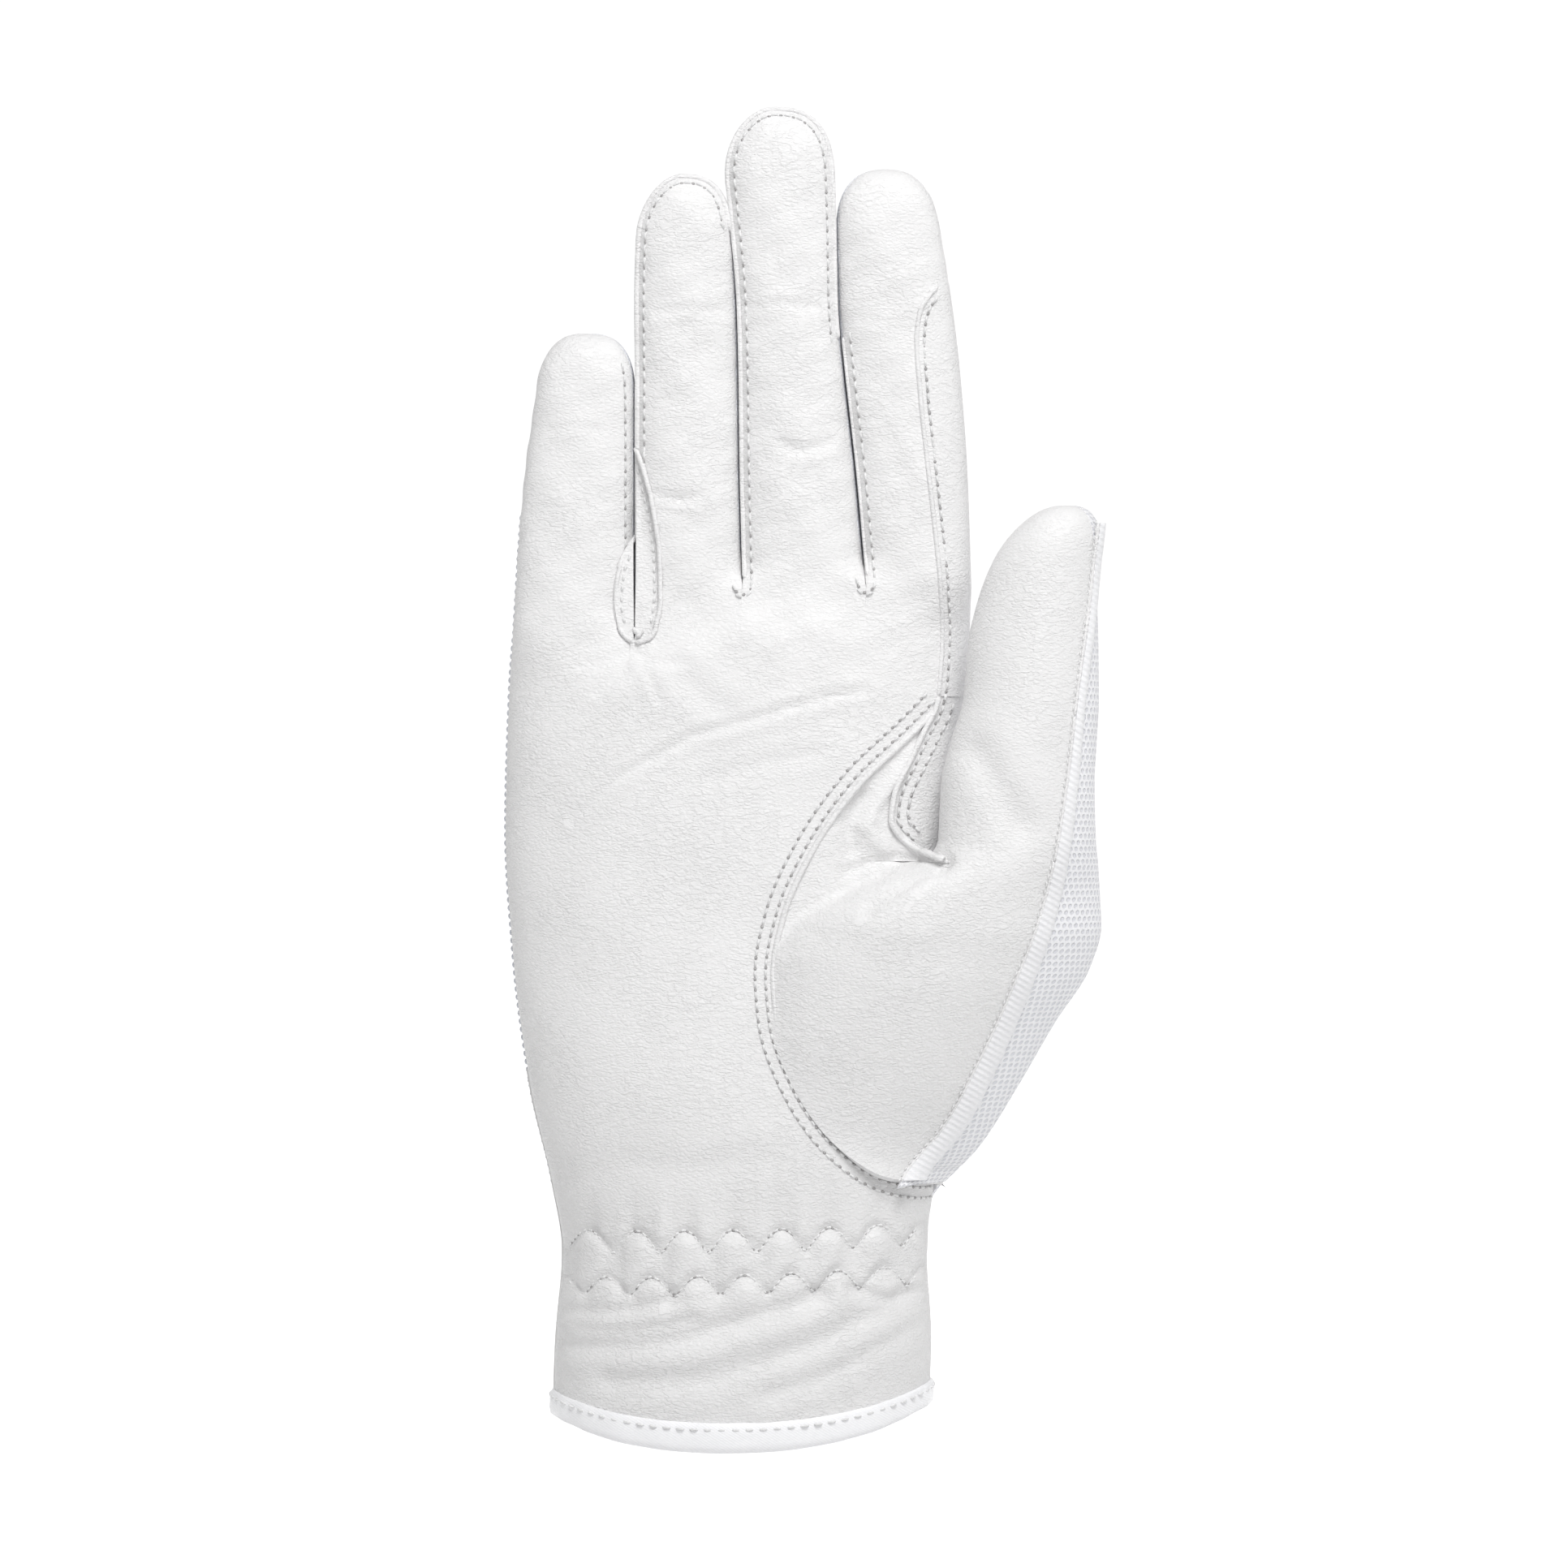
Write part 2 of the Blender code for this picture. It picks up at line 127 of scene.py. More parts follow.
# Height, left edge, right edge, depth centre, half depth; then the tip, how long its rounding is, and how
# full its left corner is
FINGERS = {
    "little": {
        "edges": ((139, -38.25, -17.9, 0, 8.6), (154, -37.3, -17.9, 0, 8.2), (165, -36.3, -17.9, 0, 7.8),
                  (175, -34.9, -17.9, -0.3, 7.4), (187, -33.2, -18.4, -0.9, 6.8)),
        "tip": 187.6, "round": 9.0, "corner": 2.6, "crotch": (139.0, 138.0), "slit": (0, 1),
    },
    "ring": {
        "edges": ((145, -17.9, 0.0, 0, 9.0), (165, -17.9, -0.5, 0, 8.5), (181, -17.9, -0.7, 0, 8.2),
                  (192, -18.0, -1.0, -0.6, 7.8), (213, -17.3, -2.2, -1.4, 7.2)),
        "tip": 213.9, "round": 10.5, "corner": 1.9, "crotch": (138.0, 146.4), "slit": (1, 2),
    },
    "middle": {
        "edges": ((145, 0.0, 20.5, 0, 9.2), (165, -0.5, 18.7, 0, 8.8), (181, -0.7, 16.9, -0.3, 8.4),
                  (192, -1.0, 15.9, -0.6, 8.1), (207, -2.3, 15.6, -1.1, 7.8), (225, -4.4, 15.0, -1.8, 7.4)),
        "tip": 225.1, "round": 12.5, "corner": 1.8, "crotch": (146.4, 146.8), "slit": (2, 3),
    },
    "index": {
        "edges": ((145, 20.5, 38.2, 0, 9.0), (165, 18.7, 37.5, 0, 8.5), (181, 16.9, 36.3, -0.4, 8.0),
                  (192, 15.9, 35.0, -0.8, 7.7), (207, 15.5, 32.6, -1.3, 7.3), (214, 15.3, 31.6, -1.6, 7.0)),
        "tip": 214.9, "round": 10.5, "corner": 2.3, "crotch": (146.8, 148.0), "slit": (3, 4),
    },
}
SLITS = (-37.7, -17.9, 0.0, 20.5, 38.2)
SLIT_HEIGHT = 146.0
FINGER_BULGE = 0.48

# Height, left edge, right edge, depth of the left edge, depth of the right edge, bulge, roundness
THUMB = columns((
    (45.4, 26.0, 33.0, -17.0, -4.0, 0.2, 0.9), (52, 15.5, 39.4, -16.6, -4.5, 2.0, 0.9),
    (61.7, 9.0, 45.6, -16.0, -5.0, 5.4, 0.9), (72.5, 4.8, 51.9, -15.3, -5.0, 8.8, 0.88),
    (82, 5.0, 57.9, -14.9, -5.0, 11.0, 0.85), (88.8, 8.5, 59.7, -14.4, -5.5, 12.0, 0.8),
    (94.2, 17.0, 59.4, -13.6, -6.0, 11.8, 0.7), (99.6, 29.5, 59.0, -12.0, -7.5, 11.0, 0.56),
    (103, 32.4, 58.6, -11.2, -8.8, 10.6, 0.52), (113, 32.9, 58.3, -10.6, -10.4, 10.2, 0.5),
    (118.6, 34.1, 58.6, -10.5, -10.5, 9.9, 0.5), (126.7, 36.5, 59.0, -10.5, -10.5, 9.5, 0.5),
    (136, 37.4, 58.9, -10.8, -10.8, 9.0, 0.5), (143.7, 39.3, 58.7, -11.2, -11.2, 8.6, 0.5),
    (149, 41.4, 59.0, -11.5, -11.5, 8.3, 0.5), (158.4, 46.6, 60.8, -12.0, -12.0, 8.0, 0.5),
))
THUMB_TIP, THUMB_ROUND = 158.4, 10.5
THUMB_CROTCH = 99.6
WEB_FOOT, WEB_TOP = 42.5, 103.0
MESH_FOOT = 46.2
THUMB_BACK_DEPTH = smooth((45.4, 62, 90, 99.6, 108, 158), (3.0, 7.0, 9.0, 9.6, 9.8, 8.0))

# Seams as (x, height) points
THUMB_SEAM = ((34.0, 46.6), (31.5, 46.6), (24.9, 47.7), (16.2, 53.3), (9.5, 62.6), (5.7, 73.2), (5.1, 81.2),
              (6.8, 90.5), (11.5, 101.2), (19.5, 112.5), (27.6, 120.2), (32.4, 125.0))
MESH_SEAM = smooth((45.4, 48.2, 55.6, 65.7, 77.9, 90.1, 101, 114.5, 126.7, 140.3, 148.4, 158.4),
                   (25.6, 27.0, 33.2, 38.6, 44.1, 48.8, 51.5, 53.6, 55.0, 56.9, 57.8, 59.0))
STRIP_EDGE = smooth((99.6, 101.6, 104, 106.4, 110.5, 116, 122, 125.5, 131, 138, 145.7, 155, 167.4,
                     178.2, 186.0, 190.5, 193.5, 195.5, 197.0),
                    (32.6, 28.8, 25.8, 24.6, 25.1, 27.6, 30.5, 32.2, 32.9, 33.2, 32.8, 31.9, 30.5,
                     29.4, 28.9, 29.4, 31.0, 33.2, 36.0))
GUSSET_LITTLE = ((-17.7, 135.5), (-19.5, 136.7), (-20.6, 138.7), (-21.2, 142.8), (-20.6, 148.2),
                 (-17.9, 154.0))
GUSSET_RING = ((-17.7, 135.5), (-15.5, 136.3), (-14.1, 138.7), (-13.4, 144.2), (-13.5, 149.6), (-14.1, 155.1),
               (-15.3, 161.2), (-16.5, 165.6), (-17.6, 168.5))

# Joint zones: each lies between two bodies and gives where its bend starts and ends; here they only set where
# pieces are split.
ZONES = {
    "little": ((140.4, 155.6), (158.4, 172.6)),
    "ring": ((145.2, 162.8), (172.2, 189.8)),
    "middle": ((145.2, 162.8), (176.2, 193.8)),
    "index": ((145.2, 162.8), (173.2, 190.8)),
    "thumb": ((100.2, 118.8), (128.2, 145.8)),
}


def hand_frame(z):
    """Centre and half width of the hand."""
    left, right = HAND[0](z), HAND[1](z)
    return (left + right) / 2, (right - left) / 2


def hand_depth(x, z, back=False):
    """How far the hand stands out at (x, z) towards the palm side or the back."""
    centre, half = hand_frame(z)
    share = np.clip(np.abs(x - centre) / half, 0.0, 1.0)
    return HAND[3 if back else 2](z) * (1.0 - share**SECTION_POWER) ** (1.0 / SECTION_POWER)


def hand_angle(x, z, back=False):
    """The angle at which the hand reaches x."""
    centre, half = hand_frame(z)
    share = np.clip((x - centre) / half, -1.0, 1.0)
    angle = np.degrees(np.arccos(np.sign(share) * np.abs(share) ** (SECTION_POWER / 2.0)))
    return -angle if back else angle


def hand_point(angle, z):
    """Points of the hand and wrist, whose lower end rises at the sides."""
    turn = np.radians(angle)
    cosine, sine = np.cos(turn), np.sin(turn)
    centre, half = hand_frame(z)
    x = centre + half * np.sign(cosine) * np.abs(cosine) ** (2.0 / SECTION_POWER)
    depth = np.where(sine > 0, HAND[2](z), HAND[3](z))
    y = -depth * np.sign(sine) * np.abs(sine) ** (2.0 / SECTION_POWER)
    rise = HEM_BASE + HEM_RISE * cosine**2 + HEM_TILT * cosine + np.where(sine < 0, HEM_BACK * sine**2, 0.0)
    lift = rise * np.clip(1.0 - (z - HEM_TOP) / HEM_FADE, 0.0, 1.2)
    return np.stack([x, y, z + lift], -1)


def slit_x(number, z):
    """Where a line between two fingers would run if it went on down the hand."""
    centre, half = hand_frame(z)
    top_centre, top_half = hand_frame(SLIT_HEIGHT)
    return centre + (SLITS[number] - top_centre) * half / top_half


CURVES = {name: columns(plan["edges"]) for name, plan in FINGERS.items()}


def finger_edges(name, z):
    """Left edge, right edge, depth centre and half depth of a finger, and how far its tip has closed:
    on the whole and on its left side."""
    plan = FINGERS[name]
    left, right, middle, depth = (curve(z) for curve in CURVES[name])
    first = plan["edges"][0][0]
    above = np.clip((z - first + 2.0) / 2.0, 0.0, 1.0)
    left = slit_x(plan["slit"][0], z) * (1 - above) + left * above
    right = slit_x(plan["slit"][1], z) * (1 - above) + right * above
    if plan["slit"][0] > 0:
        left = left + SLIT_HALF * ramp(z, plan["crotch"][0] - 1.0, plan["crotch"][0])
    if plan["slit"][1] < len(SLITS) - 1:
        right = right - SLIT_HALF * ramp(z, plan["crotch"][1] - 1.0, plan["crotch"][1])
    reach = np.clip((z - (plan["tip"] - plan["round"])) / plan["round"], 0.0, 1.0)
    return left, right, middle, depth, rounding(reach, TIP_POWER), rounding(reach, plan["corner"])


def rounding(reach, power):
    """Width left as a tip closes, 1 at its foot and 0 at its end."""
    return (1.0 - reach**power) ** (1.0 / power)


def finger_point(name, angle, z, back=False):
    """Points round one finger. Below its crotch the finger melts into the palm and the back."""
    left, right, middle, depth, scale, corner = finger_edges(name, z)
    turn = np.radians(angle)
    cosine, sine = np.cos(turn), np.sin(turn)
    side = np.where(np.abs(sine) < 1e-6, -1.0 if back else 1.0, np.sign(sine))
    share = (1.0 - cosine) / 2.0
    crotch = FINGERS[name]["crotch"][0] * share + FINGERS[name]["crotch"][1] * (1.0 - share)
    joined = ramp(z, crotch - PALM_BLEND, crotch)
    x = (left + right) / 2 + (right - left) / 2 * cosine * np.where(cosine < 0, corner, scale)
    outer = {"little": share, "index": 1.0 - share}.get(name, 0.0 * share)
    groove = np.maximum(ramp(z, crotch - 1.5, crotch + 4.0), ramp(outer, 0.5, 0.8))
    bulge = np.maximum(np.abs(sine), 1e-4) ** (FINGER_BULGE * groove)
    own = middle - side * depth * bulge * scale
    palm = -np.where(side > 0, hand_depth(x, z), -hand_depth(x, z, back=True))
    return np.stack([x, palm * (1.0 - joined) + own * joined, z + 0.0 * x], -1)


def finger_depth(name, x, z):
    """How far a finger stands out towards the palm side at (x, z)."""
    left, right, _, _, scale, corner = finger_edges(name, z)
    reach = (right - left) / 2 * np.where(x < (left + right) / 2, corner, scale)
    share = (x - (left + right) / 2) / np.maximum(reach, 1e-6)
    angle = np.degrees(np.arccos(np.clip(share, -1.0, 1.0)))
    return -finger_point(name, angle, z)[..., 1]


def thumb_point(angle, z):
    """Points round the thumb, which widens below its crotch into the ball of the thumb."""
    left, right, left_depth, right_depth, bulge, roundness = (curve(z) for curve in THUMB)
    reach = np.clip((z - (THUMB_TIP - THUMB_ROUND)) / THUMB_ROUND, 0.0, 1.0)
    scale = rounding(reach, TIP_POWER)
    turn = np.radians(angle)
    cosine, sine = np.cos(turn), np.sin(turn)
    x = (left + right) / 2 + (right - left) / 2 * cosine * scale
    share = (1.0 + cosine) / 2.0
    chord = left_depth * (1.0 - share) + right_depth * share
    power = np.where(cosine < 0, 2.0 * roundness, 1.0)
    depth = np.where(sine > 0, bulge, THUMB_BACK_DEPTH(z))
    y = chord - np.sign(sine) * depth * np.abs(sine) ** power * scale
    return np.stack([x, y, z + 0.0 * x], -1)


def thumb_angle(x, z):
    """The angle at which the thumb reaches x."""
    left, right = THUMB[0](z), THUMB[1](z)
    share = np.clip((x - (left + right) / 2) / ((right - left) / 2), -1.0, 1.0)
    return np.degrees(np.arccos(share))


def thumb_depth(x, z):
    """How far the thumb stands out towards the palm side at (x, z), falling away past its edges."""
    centre, half = (THUMB[0](z) + THUMB[1](z)) / 2, (THUMB[1](z) - THUMB[0](z)) / 2
    past = np.maximum(np.abs(x - centre) - half, 0.0)
    return -thumb_point(thumb_angle(x, z), z)[..., 1] - 0.9 * past


def smooth_max(a, b, soft):
    """The larger of two surfaces, blended where they meet."""
    gap = np.clip(0.5 + 0.5 * (a - b) / soft, 0.0, 1.0)
    return b * (1 - gap) + a * gap + soft * gap * (1 - gap)


# ---------------------------------------------------------------- folds, creases and puckers
def distance_to(path, x, z):
    """Distance from points to a line of (x, z) points."""
    nearest = np.full(np.shape(x), 1e9)
    for (ax, az), (bx, bz) in zip(path, path[1:]):
        dx, dz = bx - ax, bz - az
        t = np.clip(((x - ax) * dx + (z - az) * dz) / (dx * dx + dz * dz), 0.0, 1.0)
        nearest = np.minimum(nearest, np.hypot(x - ax - t * dx, z - az - t * dz))
    return nearest


# Height, slope, reach, pitch and first peak of the two rows that hold the elastic
ELASTIC_ROWS = ((37.2, 0.02, 1.95, 8.0, -25.5), (30.0, 0.035, 1.75, 7.7, -22.7))
CREASES = (
    (((-28.2, 106.5), (-21, 113.2), (-8.7, 120.2), (0.7, 122.8), (13.7, 126.7), (20.2, 127.8)), 0.32, 0.8),
    (((-30, 118), (-24, 122), (-17, 125.5)), 0.12, 0.8),
    (((-18.4, 134.6), (-23, 132.6), (-27, 132.2)), 0.3, 0.7),
    (((-17.9, 134.6), (-14, 132.4), (-9, 132.8)), 0.3, 0.7),
    (((-18.4, 134.8), (-20.5, 130.5), (-24, 127.5)), 0.25, 0.8),
    (((-17.4, 134.8), (-15.0, 130.0), (-13.5, 126)), 0.22, 0.8),
    (((-6, 113), (4, 116), (13, 117.5)), 0.16, 1.2),
    (((-1.5, 150.0), (-5.0, 145.0), (-8.5, 140.0)), 0.5, 2.4),
    (((3.0, 143.0), (10.0, 137.0), (20.0, 132.0)), 0.28, 2.0),
    (((21.0, 144.0), (26.0, 137.0), (30.0, 130.0)), 0.32, 1.8),
    (((-12.0, 134.0), (-8.0, 128.0), (-2.0, 124.0)), 0.25, 1.8),
    (((-29, 16.5), (-16, 19.0), (0, 23.5), (13, 28.0)), 0.75, 1.8),
    (((-22, 11.5), (-6, 13.5), (10, 18.5), (27, 26.0)), 0.6, 2.0),
    (((4, 10.5), (15, 13.5), (28, 19.5)), 0.45, 1.7),
    (((-29, 23.5), (-21, 24.5), (-12, 27.0)), 0.5, 1.2),
    (((-27, 20.5), (-18, 21.5), (-8, 24.0)), 0.35, 1.0),
    (((18, 29.0), (24, 26.5), (30, 27.5)), 0.5, 1.1),
    (((-28, 47), (-19, 50), (-8, 49), (4, 51)), 0.25, 2.2),
    (((-30, 58), (-22, 63), (-16, 70)), 0.22, 2.6),
)


def zigzag(row, x):
    """Height of a row of elastic stitching: round peaks and pointed valleys."""
    height, slope, reach, pitch, start = row
    return height + slope * x + reach * (2.0 * np.abs(np.cos(math.pi * (x - start) / pitch)) ** 1.2 - 1.0)


def wrist_relief(x, z):
    """Leather drawn in along the two zigzag rows of the elastic, and swelling in cells between them."""
    upper, lower = ELASTIC_ROWS
    offset = np.zeros(np.shape(x))
    for row in ELASTIC_ROWS:
        offset = offset - 0.50 * hill(z - zigzag(row, x), 0.75)
    cell = np.cos(2 * math.pi * (x - upper[4]) / upper[3])
    under = np.cos(2 * math.pi * (x - lower[4]) / lower[3])
    between = ramp(z, zigzag(lower, x), zigzag(lower, x) + 2.2)
    between = between * (1.0 - ramp(z, zigzag(upper, x) - 2.2, zigzag(upper, x)))
    offset = offset + between * (0.40 + 0.45 * np.sign(cell) * np.abs(cell) ** 0.6)
    above = ramp(z, upper[0] - 1.0, upper[0] + 1.5) * hill(np.maximum(z - upper[0], 0.0), 6.0)
    offset = offset - 0.42 * above * cell + 0.12 * above * np.cos(1.9 * x + 0.4)
    below = ramp(-z, -lower[0] - 0.5, -lower[0] + 1.5) * hill(np.minimum(z - lower[0], 0.0), 5.0)
    offset = offset + 0.42 * below * under + 0.10 * below * np.cos(2.3 * x)
    return offset - 0.6 * hill(z - 33.5, 8.0)


def palm_relief(x, z):
    """Height of the palm leather: the wrist, its creases and a soft unevenness."""
    offset = wrist_relief(x, z)
    for path, depth, width in CREASES:
        gap = distance_to(path, x, z)
        offset = offset - depth * hill(gap, width) + 0.35 * depth * hill(gap - 2.2 * width, 1.1 * width)
    return offset + 0.22 * np.sin(0.23 * x + 0.11 * z) * np.sin(0.16 * z - 0.08 * x + 1.0)


def gusset_relief(x, z):
    """The small insert between the little and ring fingers sits lower than the leather round it."""
    left, right = np.array(GUSSET_LITTLE), np.array(GUSSET_RING)
    middle = SLITS[1]
    low = np.interp(z, left[:, 1], left[:, 0], middle, middle)
    high = np.interp(z, right[:, 1], right[:, 0], middle, middle)
    return -0.9 * ramp(np.minimum(x - low, high - x), 0.0, 0.5)


FINGER_CREASES = {
    "little": ((((-32, 171.0), (-28, 171.8), (-24, 171.2)), 0.16, 0.7),
               (((-36, 157), (-31, 158.6)), 0.18, 0.9)),
    "ring": ((((-14.6, 160.6), (-10.5, 159.5), (-7.0, 160.0)), 0.42, 0.7),
             (((-13, 157.4), (-9, 156.6)), 0.2, 0.6),
             (((-14, 190.6), (-8, 191.5), (-3, 190.9)), 0.24, 0.7),
             (((-12, 176), (-7, 175.4)), 0.15, 1.5)),
    "middle": ((((1, 191.4), (7, 192.1), (13, 191.3)), 0.26, 0.7),
               (((6.5, 168.8), (10, 167.5), (14.5, 168.9)), 0.4, 0.9),
               (((3, 178), (10, 176.5)), 0.16, 1.8)),
    "index": ((((19, 189.5), (24, 188.6)), 0.16, 0.8), (((23, 172), (27, 163)), 0.25, 1.6)),
}


def finger_relief(name, angle, x, z):
    """Creases across the joints and soft waves, melting into the palm's own relief at the foot."""
    front = np.clip(np.sin(np.radians(angle)), 0.0, 1.0)
    offset = np.zeros(np.shape(x))
    for path, depth, width in FINGER_CREASES[name]:
        gap = distance_to(path, x, z)
        offset = offset - depth * hill(gap, width) + 0.3 * depth * hill(gap - 2.0 * width, width)
    offset = (offset + 0.12 * np.sin(0.42 * z + 0.5 * x)) * front + 0.06 * np.sin(1.1 * z - 0.5 * x)
    if name in ("little", "ring"):
        offset = offset + gusset_relief(x, z) * (front > 0)
    round_hand = np.sqrt(np.clip(np.sin(np.radians(hand_angle(x, z))), 0.0, 1.0))
    own = ramp(z, PALM_TOP, PALM_TOP + 14.0)
    return palm_relief(x, z) * round_hand * (1.0 - own) + offset * own


THUMB_FOLDS = (
    (((33.4, 99.6), (29.0, 97.6), (24.5, 94.6), (20.5, 91.8)), 0.9, 1.1),
    (((33.0, 100.4), (27.5, 100.2), (21.5, 99.6), (17.5, 98.0)), 0.6, 1.0),
    (((19.5, 110.5), (17.6, 106.0), (18.4, 101.5)), 1.0, 1.6),
    (((30.4, 119.0), (27.4, 113.5), (22.6, 107.5)), 0.45, 1.0),
    (((45.5, 106.0), (42.0, 111.5), (38.4, 117.5)), 1.0, 3.0),
    (((33.5, 99.4), (31.0, 95.0), (29.5, 90.0)), 0.35, 1.6),
    (((12.5, 88.0), (22.0, 84.0), (33.0, 86.0)), 0.25, 3.0),
)
THUMB_RIDGES = (
    (((28.5, 117.5), (23.5, 110.0), (20.5, 105.0), (23.5, 101.5)), 0.8, 1.3),
    (((24.0, 98.0), (28.5, 99.0), (31.5, 99.4)), 0.5, 0.8),
)


def thumb_relief(x, z):
    """Folds and ridges of the thumb and its crotch."""
    offset = np.zeros(np.shape(x))
    for path, depth, width in THUMB_FOLDS:
        gap = distance_to(path, x, z)
        offset = offset - depth * hill(gap, width)
    for path, height, width in THUMB_RIDGES:
        offset = offset + height * hill(distance_to(path, x, z), width)
    return offset + 0.12 * np.sin(0.3 * x - 0.2 * z)


# ---------------------------------------------------------------- making meshes
def activate(item):
    """Select one piece alone."""
    bpy.ops.object.select_all(action="DESELECT")
    item.select_set(True)
    bpy.context.view_layer.objects.active = item


def apply_all(item):
    """Apply every modifier of a piece."""
    activate(item)
    for modifier in list(item.modifiers):
        bpy.ops.object.modifier_apply(modifier=modifier.name)


def outward(points):
    """Unit normals of a grid of points."""
    across = np.gradient(points, axis=1)
    along = np.gradient(points, axis=0)
    normal = np.cross(across, along)
    length = np.linalg.norm(normal, axis=-1, keepdims=True)
    return normal / np.maximum(length, 1e-9)


def panel(name, points, wall=WALL, relief=None, lift=0.0):
    """A grid laid over its points, given its relief, its wall and a map of true lengths."""
    if relief is not None or lift:
        shift = lift + (relief if relief is not None else 0.0)
        points = points + outward(points) * np.broadcast_to(shift, points.shape[:2])[..., None]
    rows, across = points.shape[:2]
    bpy.ops.object.select_all(action="DESELECT")
    bpy.ops.mesh.primitive_grid_add(x_subdivisions=across - 1, y_subdivisions=rows - 1, size=MM)
    item = bpy.context.object
    item.name = item.data.name = name
    mesh = item.data
    mesh.vertices.foreach_set("co", (points * MM).astype(np.float32).ravel())
    steps_u = np.linalg.norm(np.diff(points, axis=1), axis=-1)
    width = np.concatenate([np.zeros((rows, 1)), np.cumsum(steps_u, axis=1)], axis=1)
    width -= width[:, [across // 2]]
    steps_v = np.linalg.norm(np.diff(points[:, across // 2], axis=0), axis=-1)
    height = np.concatenate([[0.0], np.cumsum(steps_v)])
    lengths = np.stack([width, np.broadcast_to(height[:, None], width.shape)], -1).reshape(-1, 2)
    corners = np.zeros(len(mesh.loops), np.int32)
    mesh.loops.foreach_get("vertex_index", corners)
    mesh.uv_layers.active.data.foreach_set("uv", (lengths[corners] * MM).astype(np.float32).ravel())
    bpy.ops.object.mode_set(mode="EDIT")
    bpy.ops.mesh.select_all(action="SELECT")
    bpy.ops.mesh.remove_doubles(threshold=0.02 * MM)
    bpy.ops.object.mode_set(mode="OBJECT")
    thick = item.modifiers.new("wall", "SOLIDIFY")
    thick.thickness = wall * MM
    thick.offset = -1.0
    thick.use_even_offset = False
    apply_all(item)
    item.location = (0.0, 0.0, 0.0)
    bpy.ops.object.shade_smooth_by_angle(angle=math.radians(50.0))
    return item


def spaced(path, pitch):
    """Points at an even pitch along a path, with their directions."""
    path = np.asarray(path, float)
    lengths = np.concatenate([[0.0], np.cumsum(np.linalg.norm(np.diff(path, axis=0), axis=1))])
    count = max(2, int(round(lengths[-1] / pitch)) + 1)
    marks = np.linspace(0.0, lengths[-1], count)
    even = np.stack([np.interp(marks, lengths, path[:, i]) for i in range(path.shape[1])], -1)
    ahead = np.gradient(even, axis=0)
    return even, ahead / np.maximum(np.linalg.norm(ahead, axis=1, keepdims=True), 1e-9)


def rounded(points, count=160):
    """A smooth curve through a list of points."""
    points = np.asarray(points, float)
    marks = np.concatenate([[0.0], np.cumsum(np.linalg.norm(np.diff(points, axis=0), axis=1))])
    reads = [smooth(marks, points[:, i]) for i in range(points.shape[1])]
    at = np.linspace(0.0, marks[-1], count)
    return np.stack([read(at) for read in reads], -1)


def beside(path, offset):
    """A flat (x, z) path moved sideways, to its left as it runs."""
    ahead = np.gradient(path, axis=0)
    ahead /= np.maximum(np.linalg.norm(ahead, axis=1, keepdims=True), 1e-9)
    return path + offset * np.stack([-ahead[:, 1], ahead[:, 0]], -1)


BEAD_SIDES, THREAD_SIDES, HOLE_SIDES = 8, 6, 8
HOLE_STRETCH = 1.25
# Rings of a thread: place along it, size and height. Rings of a needle hole: size and height
THREAD_RINGS = ((-0.5, 0.35, -0.6), (-0.34, 0.95, 0.2), (0.0, 1.0, 0.55), (0.34, 0.95, 0.2),
                (0.5, 0.35, -0.6))
HOLE_RINGS = ((1.0, 0.03), (0.0, 0.10), (0.0, -0.3))


def mesh_object(name, vertices, faces):
    """A mesh from vertices in millimetres and their faces."""
    mesh = bpy.data.meshes.new(name)
    mesh.from_pydata((np.asarray(vertices) * MM).tolist(), [], faces)
    mesh.update()
    mesh.shade_smooth()
    item = bpy.data.objects.new(name, mesh)
    bpy.context.scene.collection.objects.link(item)
    return item


def spread(guide, count):
    """The outward directions given along a path, read at count even places."""
    at = np.linspace(0, len(guide) - 1, count)
    return np.stack([np.interp(at, np.arange(len(guide)), guide[:, i]) for i in range(3)], -1)


def bead_parts(path, radius, up):
    """A round cord along a path, thinner at both ends."""
    path, ahead = spaced(path, max(0.5, radius))
    across = np.cross(ahead, spread(up, len(path)))
    across /= np.maximum(np.linalg.norm(across, axis=1, keepdims=True), 1e-9)
    over = np.cross(across, ahead)
    taper = np.minimum(1.0, 0.25 + np.minimum(np.arange(len(path)), np.arange(len(path))[::-1]) * 0.75)
    vertices, faces = [], []
    for i, (p, a, o, t) in enumerate(zip(path, across, over, taper)):
        for s in range(BEAD_SIDES):
            turn = 2 * math.pi * s / BEAD_SIDES
            vertices.append(p + t * radius * (math.cos(turn) * a + math.sin(turn) * o))
        if i:
            base, last = i * BEAD_SIDES, (i - 1) * BEAD_SIDES
            for s in range(BEAD_SIDES):
                n = (s + 1) % BEAD_SIDES
                faces.append((last + s, base + s, base + n, last + n))
    faces.append(tuple(range(BEAD_SIDES)))
    faces.append(tuple(range(len(vertices) - 1, len(vertices) - BEAD_SIDES - 1, -1)))
    return vertices, faces


